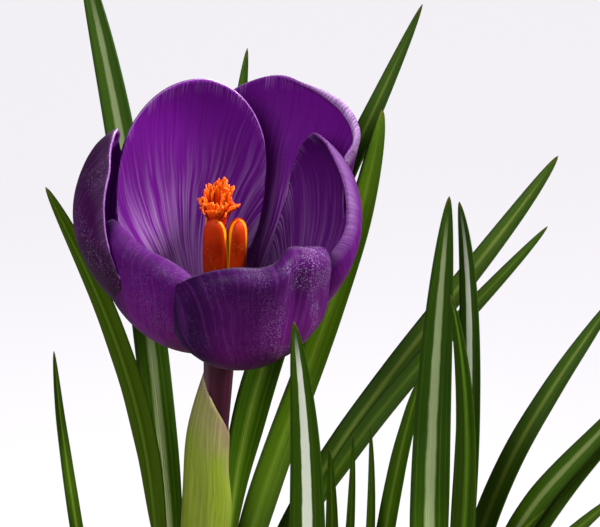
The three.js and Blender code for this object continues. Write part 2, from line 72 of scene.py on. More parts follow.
lamps = {
    # name: place, aim, size, watts, spread in degrees, colour
    "key": ((0.60, -0.05, 0.64), (0, 0, 0.17), 0.14, 1.9, 60, (1.0, 0.99, 0.96)),
    "fill": ((-0.30, -0.80, 0.60), (0, 0, 0.15), 0.5, 1.5, 60, (0.98, 0.98, 1.0)),
    "behind": ((0.25, 0.85, 0.6), (0, 0, 0.14), 0.6, 1.2, 40, (1.0, 1.0, 0.98)),
    "backdrop": ((0, 0.9, 0.9), (0, 0.9, 0), 1.2, 1.0, 90, (1.0, 0.985, 1.0)),
}


def makeLights():
    for name, (place, aim, size, watts, spread, colour) in lamps.items():
        data = bpy.data.lights.new(name, "AREA")
        data.spread = math.radians(spread)
        data.shape = "DISK"
        data.size = size
        data.energy = watts
        data.color = colour
        lamp = addObject(name, data)
        lamp.location = place
        lamp.rotation_euler = (Vector(aim) - Vector(place)).to_track_quat("-Z", "Y").to_euler()
    world = bpy.data.worlds.new("studio")
    world.use_nodes = True
    sky = world.node_tree.nodes["Background"]
    sky.inputs["Color"].default_value = (0.98, 0.97, 1.0, 1)
    seen = addNode(world.node_tree, "LightPath").outputs["Is Camera Ray"]
    strength = rescale(world.node_tree, seen, 0, 1, 0.08, 0.9)
    world.node_tree.links.new(strength, sky.inputs["Strength"])
    bpy.context.scene.world = world


# node helpers

def newMaterial(name):
    material = bpy.data.materials.new(name)
    material.use_nodes = True
    tree = material.node_tree
    tree.nodes.clear()
    output = tree.nodes.new("ShaderNodeOutputMaterial")
    shader = tree.nodes.new("ShaderNodeBsdfPrincipled")
    tree.links.new(shader.outputs[0], output.inputs["Surface"])
    return material, tree, shader


def addNode(tree, kind, inputs=None, **settings):
    node = tree.nodes.new("ShaderNode" + kind)
    for key, value in settings.items():
        setattr(node, key, value)
    for key, value in (inputs or {}).items():
        socket = node.inputs[key]
        if isinstance(value, bpy.types.NodeSocket):
            tree.links.new(value, socket)
        else:
            socket.default_value = value
    return node


def ramp(tree, source, stops):
    node = addNode(tree, "ValToRGB", {"Fac": source})
    points = node.color_ramp.elements
    while len(points) < len(stops):
        points.new(0.5)
    for point, (place, colour) in zip(points, stops):
        point.position = place
        point.color = (*colour, 1)
    return node.outputs["Color"]


def mixColour(tree, share, first, second):
    values = {0: share, 6: first, 7: second}
    for index in (6, 7):
        if isinstance(values[index], tuple):
            values[index] = (*values[index], 1)
    return addNode(tree, "Mix", values, data_type="RGBA").outputs[2]


def maths(tree, operation, first, second=0.5, third=0.5, clamp=False):
    values = {0: first, 1: second, 2: third}
    return addNode(tree, "Math", values, operation=operation, use_clamp=clamp).outputs[0]


def times(tree, first, second):
    return maths(tree, "MULTIPLY", first, second)


def distanceFrom(tree, value, centre):
    return maths(tree, "ABSOLUTE", maths(tree, "SUBTRACT", value, centre))


def rescale(tree, value, low, high, toLow=0.0, toHigh=1.0):
    return addNode(tree, "MapRange", {
        "Value": value, "From Min": low, "From Max": high, "To Min": toLow, "To Max": toHigh,
    }, interpolation_type="SMOOTHSTEP").outputs["Result"]


def wash(tree, colour, other, value, low, high, share=1.0):
    # the colour turns into the other one, up to a share, as the value goes from low to high
    return mixColour(tree, rescale(tree, value, low, high, 0.0, share), colour, other)


def clouds(tree, vector, scale, detail=2.0, roughness=0.5):
    return addNode(tree, "TexNoise", {
        "Vector": vector, "Scale": scale, "Detail": detail, "Roughness": roughness,
    }).outputs["Fac"]


def component(tree, vector, axis):
    return addNode(tree, "SeparateXYZ", {0: vector}).outputs[axis]


def newGroup(name, inputs, outputs):
    group = bpy.data.node_groups.new(name, "ShaderNodeTree")
    for label, kind, value in inputs:
        socket = group.interface.new_socket(label, in_out="INPUT", socket_type=kind)
        if value is not None:
            socket.default_value = value
    for label, kind in outputs:
        group.interface.new_socket(label, in_out="OUTPUT", socket_type=kind)
    source = group.nodes.new("NodeGroupInput")
    result = group.nodes.new("NodeGroupOutput")
    return group, source, result


def makeStreakGroup():
    # lines that run along V, as veins and fibres do: Count of them across U, Stretch of them along V
    group, source, result = newGroup("streaks", [
        ("Vector", "NodeSocketVector", None), ("Count", "NodeSocketFloat", 30.0),
        ("Stretch", "NodeSocketFloat", 2.0), ("Seed", "NodeSocketFloat", 0.0),
    ], [("Value", "NodeSocketFloat")])
    vector = source.outputs["Vector"]
    wander = clouds(group, vector, 3.0, 1.0)
    moved = maths(group, "MULTIPLY_ADD", wander, 0.05, component(group, vector, "X"))
    place = addNode(group, "CombineXYZ", {
        "X": times(group, moved, source.outputs["Count"]),
        "Y": times(group, component(group, vector, "Y"), source.outputs["Stretch"]),
        "Z": source.outputs["Seed"],
    })
    lines = clouds(group, place.outputs[0], 1.0, 2.0, 0.55)
    group.links.new(lines, result.inputs["Value"])
    return group


def makeGrainGroup():
    # uneven specks: painted glints where papillae catch the light, and grains of pollen and of sand
    group, source, result = newGroup("grain", [
        ("Vector", "NodeSocketVector", None), ("Scale", "NodeSocketFloat", 2000.0),
        ("Patches", "NodeSocketFloat", 120.0),
    ], [("Mask", "NodeSocketFloat"), ("Height", "NodeSocketFloat")])
    vector = source.outputs["Vector"]
    cells = clouds(group, vector, source.outputs["Scale"], 3.0, 0.7)
    patches = clouds(group, vector, source.outputs["Patches"], 2.0)
    mask = times(group, rescale(group, cells, 0.54, 0.66), rescale(group, patches, 0.4, 0.58))
    group.links.new(mask, result.inputs["Mask"])
    group.links.new(cells, result.inputs["Height"])
    return group


streakGroup = makeStreakGroup()
grainGroup = makeGrainGroup()


def streaks(tree, vector, count, stretch, seed):
    values = {"Vector": vector, "Count": count, "Stretch": stretch, "Seed": seed}
    return addNode(tree, "Group", values, node_tree=streakGroup).outputs["Value"]


def grain(tree, vector, scale, patches):
    values = {"Vector": vector, "Scale": scale, "Patches": patches}
    node = addNode(tree, "Group", values, node_tree=grainGroup)
    return node.outputs["Mask"], node.outputs["Height"]


def bump(tree, shader, height, distance, strength=1.0):
    node = addNode(tree, "Bump", {"Height": height, "Distance": distance, "Strength": strength})
    tree.links.new(node.outputs["Normal"], shader.inputs["Normal"])


def attribute(tree, name):
    return addNode(tree, "Attribute", attribute_name=name).outputs["Fac"]


def coordinate(tree, kind):
    return addNode(tree, "TexCoord").outputs[kind]


def letThrough(tree, shader, colour, share):
    # part of the light passes through a thin sheet and leaves it coloured
    through = addNode(tree, "BsdfTranslucent", {"Color": colour})
    both = addNode(tree, "MixShader", {"Fac": share})
    tree.links.new(shader.outputs[0], both.inputs[1])
    tree.links.new(through.outputs[0], both.inputs[2])
    output = next(n for n in tree.nodes if n.type == "OUTPUT_MATERIAL")
    tree.links.new(both.outputs[0], output.inputs["Surface"])


# mesh helpers

def floatLayer(bm, name):
    return bm.verts.layers.float.get(name) or bm.verts.layers.float.new(name)


def uvLayer(bm):
    return bm.loops.layers.uv.get("UVMap") or bm.loops.layers.uv.new("UVMap")


def addGrid(bm, steps, across, place, values=None, uvPlace=None, closed=False):
    # a grid of steps along by across, moved into place; place(s, t) is in millimetres
    layer = uvLayer(bm)
    marks = {name: (floatLayer(bm, name), value) for name, value in (values or {}).items()}
    made = bmesh.ops.create_grid(bm, x_segments=steps, y_segments=across, size=0.5)["verts"]
    shares = {v: (v.co.x + 0.5, v.co.y + 0.5) for v in made}
    faces = {f for v in made for f in v.link_faces}
    for face in faces:
        for loop in face.loops:
            s, t = shares[loop.vert]
            loop[layer].uv = uvPlace(s, t) if uvPlace else (t, s)
    for vert, (s, t) in shares.items():
        vert.co = place(s, t) * mm
        for mark, value in marks.values():
            vert[mark] = value(s, t) if callable(value) else value
    if closed:
        bmesh.ops.remove_doubles(bm, verts=made, dist=1e-6)
        bmesh.ops.recalc_face_normals(bm, faces=[f for f in faces if f.is_valid])


def closeHoles(bm):
    rims = [e for e in bm.edges if e.is_boundary]
    bmesh.ops.holes_fill(bm, edges=rims, sides=0)
    bmesh.ops.recalc_face_normals(bm, faces=bm.faces)


def makeMesh(name, bm):
    mesh = bpy.data.meshes.new(name)
    bm.to_mesh(mesh)
    bm.free()
    return mesh


def finishPiece(name, bm, materials, replaced):
    mesh = makeMesh(name, bm)
    mesh.shade_smooth()
    for material in materials:
        mesh.materials.append(material)
    piece = addObject(name, mesh)
    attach(piece, "root")
    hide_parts(*replaced)
    return piece


def thicken(piece, thickness, offset):
    wall = piece.modifiers.new("thickness", "SOLIDIFY")
    wall.thickness = thickness * mm
    wall.offset = offset
    return wall


def polar(radius, angle, z):
    return Vector((radius * math.cos(angle), radius * math.sin(angle), z))


def smoothstep(x, low, high):
    x = min(max((x - low) / (high - low), 0), 1)
    return x * x * (3 - 2 * x)


def along(values, x):
    # smooth curve through evenly spaced values
    last = len(values) - 1
    place = min(max(x, 0), 1) * last
    i = min(int(place), last - 1)
    f = place - i
    b, c = values[i], values[i + 1]
    a = values[i - 1] if i > 0 else 2 * b - c
    d = values[i + 2] if i < last - 1 else 2 * c - b
    return 0.5 * (2 * b + (c - a) * f + (2 * a - 5 * b + 4 * c - d) * f * f
                  + (3 * b - a - 3 * c + d) * f ** 3)


# tepals

bloomShape = {
    "throat": Vector((-13.4, 0, 158.2)),
    "tilt": 15,
    "claw": 2.4,
    "tightest": 2.2,  # the least radius that a tepal's cup is worked out from
    "boreFoot": -8.7,  # where the stamens and the style start, below the throat
    "thickness": 0.42,
    "rows": 64,
    "columns": 48,
    "samples": 80,
    "widths": (0.09, 0.42, 0.72, 0.91, 0.99, 1),
}

# what a tepal has where it says nothing else
plainTepal = {
    "crown": 0.6, "crownRoll": (0, 0, 0, 0, 0), "sideRoll": (0, 0), "rollWidth": 3, "rollFrom": 0.35,
    # crease: where across, how wide, how deep in millimetres; dip: the same, as a share of the length
    "crease": (0.0, 0.2, 0.0), "dip": (0.0, 0.2, 0.0), "wave": 0.3,
    # the last four marks are painted light: a highlight on the crest, shade inside, shade along the
    # margin and glints
    "bronze": 0.0, "crestHighlight": 0.0, "shaded": 0.0, "edgeShade": 0.0, "glintShare": 0.1,
}

tepals = {
    # lean and cup run from the claw to the crown
    "tepal_back_left": {
        "azimuth": 122, "length": 45.8, "half": 13.8, "swing": -18,
        "lean": (56, 42, 22, 6, 6, -10), "cup": (0.6, 0.65, 0.7, 0.7, 0.65, 0.65),
        "wave": 0.15, "bronze": 0.1, "crestHighlight": 0.3},
    "tepal_back_right": {
        "azimuth": 67, "length": 49, "half": 15.8, "swing": -12, "crown": 0.8,
        "lean": (80, 60, 35, 18, 18, -4), "cup": (0.5, 0.62, 0.72, 0.9, 1.15, 1.25),
        "crownRoll": (110, 120, 70, 0, 0), "sideRoll": (70, 0), "rollWidth": 3.2, "rollFrom": 0.6,
        "dip": (-0.6, 0.35, -0.035), "bronze": 0.5, "crestHighlight": 1.0, "shaded": 0.2, "glintShare": 0.3},
    "tepal_right": {
        "azimuth": 2, "length": 45.5, "half": 17, "swing": 20,
        "lean": (72, 61, 36, 20, -6, -50), "cup": (0.68, 0.9, 0.97, 0.95, 0.95, 1.1),
        "crownRoll": (40, 20, 0, 0, 0), "sideRoll": (60, 0), "rollWidth": 4,
        "crestHighlight": 0.3, "shaded": 0.6},
    "tepal_front": {
        "azimuth": 290, "length": 43, "half": 17.5, "swing": 4,
        "lean": (74, 68, 52, 6, 10, 8), "cup": (0.65, 1.05, 1.3, 1.3, 1.3, 1.3),
        "crownRoll": (110, 110, 110, 110, 110), "sideRoll": (60, 60), "rollWidth": 4.5,
        "crease": (0.26, 0.11, 1.6), "dip": (-0.02, 0.27, 0.055), "wave": 0.25,
        "bronze": 0.25, "edgeShade": 0.8, "glintShare": 1.0},
    "tepal_front_left": {
        "azimuth": 230, "length": 38.2, "half": 15, "swing": -10,
        "lean": (62, 60, 42, 12, 4, 4), "cup": (0.65, 0.85, 0.9, 0.9, 0.95, 0.95),
        "crownRoll": (90, 90, 90, 90, 90), "sideRoll": (30, 0), "rollWidth": 4.5,
        "dip": (0.15, 0.35, 0.05), "wave": 0.25, "crestHighlight": 0.08, "edgeShade": 0.4, "glintShare": 0.3},
    "tepal_left": {
        "azimuth": 184, "length": 50, "half": 15.3, "swing": -9, "crown": 0.62,
        "lean": (60, 54, 38, 14, -20, -52), "cup": (0.8, 1.1, 1.25, 1.4, 1.5, 1.5),
        "wave": 0.7, "bronze": 0.88, "crestHighlight": 0.15, "glintShare": 0.55},
}

bloomFrame = (Matrix.Translation(bloomShape["throat"])
              @ Matrix.Rotation(math.radians(bloomShape["tilt"]), 4, "X"))


def section(tepal, s, t, width, curl):
    # sideways and inward, with a margin that rolls in on each side
    share = smoothstep(s, tepal["rollFrom"], tepal["rollFrom"] + 0.4)
    roll = math.radians(tepal["sideRoll"][0 if t < 0 else 1]) * share
    full = width / max(abs(t), 1e-6)
    margin = min(tepal["rollWidth"], full * 0.4)
    plain = min(width, full - margin)
    turned = curl * plain
    sideways = math.sin(turned) / curl
    inward = (1 - math.cos(turned)) / curl
    if width > plain:
        tight = curl + roll / margin
        end = turned + tight * (width - plain)
        sideways += (math.sin(end) - math.sin(turned)) / tight
        inward += (math.cos(turned) - math.cos(end)) / tight
    return math.copysign(sideways, t), inward


def tepalSurface(tepal):
    samples = bloomShape["samples"]
    spine = [(bloomShape["claw"], 0.0)]
    for i in range(samples):
        lean = math.radians(along(tepal["lean"], (i + 0.5) / samples))
        r, h = spine[-1]
        step = tepal["length"] / samples
        spine.append((r + math.sin(lean) * step, h + math.cos(lean) * step))

    def place(s, across):
        t = math.sin(math.pi * (0.5 - across))
        crown = tepal["crown"]
        where, wide, deep = tepal["dip"]
        dip = deep * smoothstep(s, 0.5, 1) * math.exp(-((t - where) / wide) ** 2)
        share = s * (crown + (1 - crown) * math.sqrt(max(0, 1 - t * t)) - dip)
        i = min(int(share * samples), samples - 1)
        f = share * samples - i
        r = spine[i][0] * (1 - f) + spine[i + 1][0] * f
        h = spine[i][1] * (1 - f) + spine[i + 1][1] * f
        lean = math.radians(along(tepal["lean"], share))
        width = tepal["half"] * along(bloomShape["widths"], s) * t
        curl = along(tepal["cup"], s) / max(r, bloomShape["tightest"])
        sideways, inward = section(tepal, s, t, abs(width), curl)
        # the crown's margin rolls in
        roll = math.radians(along(tepal["crownRoll"], (1 + t) / 2))
        rolled = max(0, tepal["rollWidth"] - (1 - s) * share / max(s, 0.01) * tepal["length"])
        if roll and rolled:
            bend = roll / tepal["rollWidth"] * (rolled / tepal["rollWidth"]) ** 0.5
            risen = math.sin(bend * rolled) / bend - rolled
            r += math.sin(lean) * risen
            h += math.cos(lean) * risen
            inward += (1 - math.cos(bend * rolled)) / bend
        where, wide, deep = tepal["crease"]
        inward += deep * smoothstep(s, 0.3, 1) * math.exp(-((t - where) / wide) ** 2)
        edge = max(smoothstep(s, 0.75, 1), smoothstep(abs(t), 0.8, 1) * smoothstep(s, 0.3, 0.6))
        inward += tepal["wave"] * edge * noise.noise(Vector((t * 3.5, s * 7, tepal["azimuth"])))
        azimuth = math.radians(tepal["azimuth"] + tepal["swing"] * share)
        out = r - math.cos(lean) * inward
        return bloomFrame @ Vector((
            out * math.cos(azimuth) - sideways * math.sin(azimuth),
            out * math.sin(azimuth) + sideways * math.cos(azimuth),
            h + math.sin(lean) * inward))

    return place


def tepalInside(tree, height, up, fromMiddle, broad, middle, fine):
    # paler towards the claw, as the throat is, and paler still there as painted light where the other
    # tepals shade it
    colour = ramp(tree, height, [
        (0.0, (0.60, 0.45, 0.64)), (0.2, (0.30, 0.11, 0.38)), (0.45, (0.13, 0.010, 0.21)),
        (1.0, (0.115, 0.005, 0.19))])
    # painted shade: the inside of some tepals is darkened where it lies in shade, and its pale streaks
    # are dimmed
    shaded = attribute(tree, "shaded")
    reach = rescale(tree, maths(tree, "MULTIPLY_ADD", broad, 0.5, up), 1.1, 0.45)
    lit = times(tree, rescale(tree, broad, 0.46, 0.62), reach)
    lit = times(tree, lit, maths(tree, "MULTIPLY_ADD", shaded, -0.6, 0.8))
    colour = mixColour(tree, lit, colour, (0.40, 0.22, 0.48))
    thin = times(tree, rescale(tree, middle, 0.54, 0.64, 0.0, 0.5), reach)
    colour = mixColour(tree, thin, colour, (0.45, 0.27, 0.50))
    colour = wash(tree, colour, (0.075, 0.003, 0.12), middle, 0.5, 0.38, 0.4)
    colour = mixColour(tree, shaded, colour, (0.045, 0.003, 0.07))
    # painted highlight along the margins, as thin pale streaks
    edge = maths(tree, "MAXIMUM", rescale(tree, height, 0.93, 1.0), rescale(tree, fromMiddle, 0.46, 0.5))
    rimHighlight = times(tree, rescale(tree, fine, 0.5, 0.62), times(tree, edge, 0.4))
    return mixColour(tree, rimHighlight, colour, (0.36, 0.18, 0.46))


def tepalOutside(tree, across, height, fromMiddle, middle, fine, dashes):
    colour = ramp(tree, height, [
        (0.0, (0.16, 0.03, 0.10)), (0.15, (0.28, 0.026, 0.24)), (0.45, (0.15, 0.008, 0.155)),
        (0.75, (0.09, 0.004, 0.125)), (1.0, (0.08, 0.003, 0.13))])
    # painted shade along the left margin, and in the most shaded also along the left part of the crest
    edgeShade = attribute(tree, "edgeShade")
    onCrest = times(tree, rescale(tree, height, 0.8, 0.95), rescale(tree, across, 0.7, 0.5))
    onCrest = times(tree, onCrest, rescale(tree, edgeShade, 0.4, 1.0))
    # the one with less painted shade has the broader shaded margin
    fromLeft = maths(tree, "ADD", across, maths(tree, "MULTIPLY_ADD", edgeShade, 0.35, -0.28))
    onMargin = times(tree, rescale(tree, fromLeft, 0.3, 0.14), rescale(tree, edgeShade, 0.0, 0.4))
    colour = mixColour(tree, maths(tree, "MAXIMUM", onCrest, onMargin), colour, (0.018, 0.001, 0.045))
    colour = mixColour(tree, attribute(tree, "bronze"), colour, (0.020, 0.005, 0.012))
    colour = wash(tree, colour, (0.22, 0.04, 0.28), middle, 0.48, 0.66, 0.2)
    colour = wash(tree, colour, (0.045, 0.003, 0.065), dashes, 0.5, 0.36, 0.5)
    keel = times(tree, rescale(tree, fromMiddle, 0.08, 0.0), rescale(tree, height, 0.75, 0.1))
    colour = mixColour(tree, times(tree, keel, 0.5), colour, (0.06, 0.006, 0.08))
    # painted highlight on the crest of some, as thin pale streaks
    crest = times(tree, rescale(tree, height, 0.88, 0.98), attribute(tree, "crestHighlight"))
    rimHighlight = times(tree, rescale(tree, fine, 0.4, 0.64, 0.3, 0.9), crest)
    return mixColour(tree, rimHighlight, colour, (0.36, 0.22, 0.44))


def tepalMaterial(name, inside):
    material, tree, shader = newMaterial(name)
    uv = coordinate(tree, "UV")
    across, height = component(tree, uv, "X"), component(tree, uv, "Y")
    offMiddle = maths(tree, "SUBTRACT", across, 0.5)
    fromMiddle = maths(tree, "ABSOLUTE", offMiddle)
    # veins leave the claw together and spread to the margins; up is how high on the midrib they are
    squared = maths(tree, "POWER", times(tree, fromMiddle, 2.0), 2.0)
    arch = maths(tree, "SQRT", maths(tree, "SUBTRACT", 1.0, squared, clamp=True))
    up = times(tree, height, maths(tree, "MULTIPLY_ADD", arch, 0.4, 0.6))
    spread = maths(tree, "POWER", maths(tree, "SUBTRACT", 1.0, up), 1.5)
    fan = maths(tree, "MULTIPLY_ADD", spread, 0.55, 0.45)
    veins = addNode(tree, "CombineXYZ", {"X": times(tree, offMiddle, fan), "Y": up}).outputs[0]
    middle = streaks(tree, veins, 105.0, 2.4, 14.0)
    fine = streaks(tree, veins, 240.0, 4.0, 8.0)
    if inside:
        broad = streaks(tree, veins, 36.0, 1.5, 3.0)
        colour = tepalInside(tree, height, up, fromMiddle, broad, middle, fine)
    else:
        dashes = streaks(tree, veins, 120.0, 22.0, 5.0)
        colour = tepalOutside(tree, across, height, fromMiddle, middle, fine, dashes)
    # painted glints: pale specks where the papillae catch the light, more of them towards the right side,
    # faint on the inside
    sparkle, cells = grain(tree, coordinate(tree, "Object"), 3800.0, 160.0)
    side = rescale(tree, across, 0.35, 0.7, 0.15, 1.0)
    glint = times(tree, sparkle, times(tree, side, attribute(tree, "glintShare")))
    colour = mixColour(tree, times(tree, glint, 0.1 if inside else 0.5), colour, (0.62, 0.47, 0.80))
    tree.links.new(colour, shader.inputs["Base Color"])
    shader.inputs["Roughness"].default_value = 0.5
    shader.inputs["Specular IOR Level"].default_value = 0.05 if inside else 0.1
    shader.inputs["Sheen Weight"].default_value = 0.015 if inside else 0.05
    shader.inputs["Sheen Roughness"].default_value = 0.3
    shader.inputs["Sheen Tint"].default_value = (0.85, 0.6, 1.0, 1)
    bump(tree, shader, maths(tree, "MULTIPLY_ADD", cells, 0.35, middle), 0.00022, 0.6)
    letThrough(tree, shader, mixColour(tree, 0.5, colour, (0.46, 0.04, 0.54)), 0.3)
    return material


def tepalRimMaterial():
    material, tree, shader = newMaterial("tepal rim")
    tone = streaks(tree, coordinate(tree, "UV"), 60.0, 3.0, 1.0)
    colour = ramp(tree, tone, [(0.35, (0.11, 0.02, 0.16)), (0.7, (0.22, 0.08, 0.28))])
    tree.links.new(colour, shader.inputs["Base Color"])
    shader.inputs["Roughness"].default_value = 0.45
    return material


def makeTepals():
    materials = [
        tepalMaterial("tepal outside", False), tepalMaterial("tepal inside", True), tepalRimMaterial()]
    for name, shape in tepals.items():
        tepal = {**plainTepal, **shape}
        bm = bmesh.new()
        addGrid(bm, bloomShape["rows"], bloomShape["columns"], tepalSurface(tepal),
                {mark: tepal[mark] for mark in ("bronze", "crestHighlight", "shaded", "edgeShade", "glintShare")},
                lambda s, t: (0.5 + 0.5 * math.sin(math.pi * (0.5 - t)), s))
        piece = finishPiece(name, bm, materials, ["bloom"])
        sheet = thicken(piece, bloomShape["thickness"], 0)
        sheet.material_offset = 1
        sheet.material_offset_rim = 2
    print("tepals made")


# flower tube and spathe

tubeShape = {
    "foot": Vector((-17.5, 3, 81.6)),
    "rise": 35,
    "under": 22,
    "aside": -0.8,
    "footRadius": 1.7,
    "topRadius": 2.15,
    "bell": 3.1,
    "bellFrom": 0.9,  # the rest of the tube is the bell in the bloom's throat
    "bellFoot": -0.8,
    "bellHeight": 1.8,
    "wall": 0.5,
}


def bezier(points, t):
    a, b, c, d = points
    u = 1 - t
    return a * u ** 3 + b * (3 * u * u * t) + c * (3 * u * t * t) + d * t ** 3


def bezierTangent(points, t):
    a, b, c, d = points
    u = 1 - t
    return ((b - a) * (3 * u * u) + (c - b) * (6 * u * t) + (d - c) * (3 * t * t)).normalized()


bloomAxis = bloomFrame.to_3x3() @ Vector((0, 0, 1))
underThroat = bloomShape["throat"] - bloomAxis * tubeShape["under"]
underThroat.x = bloomShape["throat"].x + tubeShape["aside"]
tubeLine = [
    tubeShape["foot"], tubeShape["foot"] + Vector((0, 0, tubeShape["rise"])), underThroat,
    bloomShape["throat"]]


def tubeRing(share, radius, turn):
    tangent = bezierTangent(tubeLine, share)
    right = Vector((1, 0, 0))
    right = (right - tangent * right.dot(tangent)).normalized()
    back = tangent.cross(right)
    angle = turn * 2 * math.pi
    return bezier(tubeLine, share) + (right * math.cos(angle) + back * math.sin(angle)) * radius


def tubeMaterial():
    material, tree, shader = newMaterial("flower tube")
    uv = coordinate(tree, "UV")
    around, height = component(tree, uv, "X"), component(tree, uv, "Y")
    tone = streaks(tree, uv, 18.0, 2.0, 5.0)
    colour = ramp(tree, tone, [(0.35, (0.014, 0.002, 0.006)), (0.6, (0.038, 0.005, 0.017))])
    # a pale line on the left, the bloom's violet at the top and pale towards the soil
    colour = wash(tree, colour, (0.20, 0.10, 0.16), distanceFrom(tree, around, 0.58), 0.1, 0.0, 0.4)
    colour = wash(tree, colour, (0.12, 0.012, 0.14), height, 0.93, 1.0)
    colour = wash(tree, colour, (0.55, 0.5, 0.45), height, 0.5, 0.2)
    tree.links.new(colour, shader.inputs["Base Color"])
    shader.inputs["Roughness"].default_value = 0.42
    shader.inputs["Specular IOR Level"].default_value = 0.25
    bump(tree, shader, tone, 0.0002, 0.5)
    return material


def makeFlowerTube():
    bm = bmesh.new()
    shape = tubeShape
    slim, top, bellFrom = shape["footRadius"], shape["topRadius"], shape["bellFrom"]

    def place(s, t):
        if s < bellFrom:
            share = s / bellFrom
            return tubeRing(share * 0.97, slim + (top - slim) * share ** 6, t)
        rise = (s - bellFrom) / (1 - bellFrom)
        radius = top + (shape["bell"] - top) * rise
        return bloomFrame @ polar(radius, t * 2 * math.pi, shape["bellFoot"] + shape["bellHeight"] * rise)

    addGrid(bm, 60, 28, place, closed=True)
    piece = finishPiece("flower_tube", bm, [tubeMaterial()], ["bloom"])
    thicken(piece, shape["wall"], -1)


spatheShape = {
    "radii": (3, 3, 3.2, 3.6, 4.1, 4.3, 4.4, 4.15, 3.7),
    "aside": (0, 0, 0, 0.1, 0.3, 0.4, 0.6, 1.3, 1.1),
    "low": 135.7,
    "high": 148.5,
    "taper": 0.44,
    "thickness": 0.35,
}


def spatheMaterial():
    material, tree, shader = newMaterial("spathe")
    uv = coordinate(tree, "UV")
    fibres = streaks(tree, uv, 46.0, 3.0, 12.0)
    nerves = streaks(tree, uv, 120.0, 14.0, 33.0)
    blotch = clouds(tree, coordinate(tree, "Object"), 160.0, 3.0)
    uneven = maths(tree, "MULTIPLY_ADD", blotch, 0.24, -0.12)
    height = maths(tree, "ADD", uneven, component(tree, uv, "Y"))
    body = ramp(tree, height, [
        (0.2, (0.50, 0.50, 0.26)), (0.55, (0.175, 0.25, 0.008)), (0.84, (0.19, 0.26, 0.014)),
        (0.93, (0.25, 0.24, 0.075)), (1.0, (0.24, 0.16, 0.11))])
    lighter = mixColour(tree, 0.5, body, (0.52, 0.56, 0.12))
    colour = wash(tree, body, lighter, fibres, 0.42, 0.62, 0.35)
    colour = wash(tree, colour, (0.12, 0.15, 0.02), nerves, 0.5, 0.36, 0.4)
    tree.links.new(colour, shader.inputs["Base Color"])
    shader.inputs["Roughness"].default_value = 0.5
    bump(tree, shader, fibres, 0.0004, 0.7)
    letThrough(tree, shader, colour, 0.3)
    return material


def makeSpathe():
    bm = bmesh.new()
    shape = spatheShape
    foot, throatHeight = tubeShape["foot"].z, bloomShape["throat"].z

    def place(s, t):
        share = s * (shape["low"] - foot) / (throatHeight - foot)
        radius = along(shape["radii"], s)
        centre = bezier(tubeLine, share)
        fromCentre = tubeRing(share, radius, t) - centre
        left = min(max((1 - fromCentre.x / radius) / 2, 0), 1)
        longer = s ** 3 * left ** 0.5
        fromCentre.x -= along(shape["aside"], s)
        ripple = noise.noise(Vector((math.cos(t * 6.283) * 1.5, math.sin(t * 6.283) * 1.5, s * 5)))
        fromCentre *= (1 - shape["taper"] * longer ** 3) * (1 + 0.06 * ripple * s)
        raised = longer * (shape["high"] - shape["low"])
        return centre + fromCentre + bezierTangent(tubeLine, share) * raised

    addGrid(bm, 70, 44, place, closed=True)
    piece = finishPiece("spathe_sheet", bm, [spatheMaterial()], ["spathe"])
    thicken(piece, shape["thickness"], -1)
    print("tube and spathe made")


# stamens and stigma

stamenShape = {
    "from": 12, "splay": 0.7,
    # azimuth, distance from the axis, length, width, thickness, where round it the slits are
    "places": (
        (263, 2.4, 13.6, 4.4, 2.6, (0.2, 0.6)), (345, 3.5, 12.8, 4.2, 3.7, (0.0, 0.66)),
        (105, 2.2, 12.8, 3.6, 2.6, (0.25, 0.75))),
    "slitDepth": 0.12, "slitWidth": 0.04,
    "fromAxis": 0.85,  # of a filament's foot in the bore
    "filament": 0.32, "filamentSwell": 0.25,
}


def antherMaterial():
    material, tree, shader = newMaterial("anther")
    place = coordinate(tree, "Object")
    height = component(tree, coordinate(tree, "UV"), "Y")
    pollen, cells = grain(tree, place, 5200.0, 500.0)
    colour = ramp(tree, clouds(tree, place, 220.0, 3.0), [
        (0.3, (0.17, 0.006, 0.0002)), (0.7, (0.29, 0.016, 0.0004))])
    colour = wash(tree, colour, (0.42, 0.028, 0.0005), height, 0.6, 1.0, 0.6)
    colour = wash(tree, colour, (0.75, 0.27, 0.006), attribute(tree, "groove"), 0.2, 0.8, 0.85)
    colour = mixColour(tree, times(tree, pollen, 0.25), colour, (0.75, 0.26, 0.01))
    tree.links.new(colour, shader.inputs["Base Color"])
    shader.inputs["Roughness"].default_value = 0.5
    shader.inputs["Specular IOR Level"].default_value = 0.08
    bump(tree, shader, cells, 0.0001, 0.25)
    return material


def stigmaMaterial():
    material, tree, shader = newMaterial("stigma")
    tone = clouds(tree, coordinate(tree, "Object"), 420.0, 3.0)
    height = component(tree, coordinate(tree, "UV"), "Y")
    shade = maths(tree, "MULTIPLY_ADD", tone, 0.5, maths(tree, "SUBTRACT", height, 0.25))
    # darker and redder towards the foot, partly the stigma's own colour and partly painted shade, and
    # bright at the rims as painted light
    colour = ramp(tree, shade, [
        (0.1, (0.25, 0.007, 0.0002)), (0.45, (0.42, 0.013, 0.0003)), (0.8, (0.62, 0.040, 0.0005)),
        (1.0, (0.85, 0.12, 0.001))])
    tree.links.new(colour, shader.inputs["Base Color"])
    shader.inputs["Roughness"].default_value = 0.5
    shader.inputs["Specular IOR Level"].default_value = 0.25
    shader.inputs["Subsurface Weight"].default_value = 0.2
    shader.inputs["Subsurface Radius"].default_value = (1.0, 0.3, 0.08)
    shader.inputs["Subsurface Scale"].default_value = 0.0008
    bump(tree, shader, tone, 0.0002, 0.5)
    return material


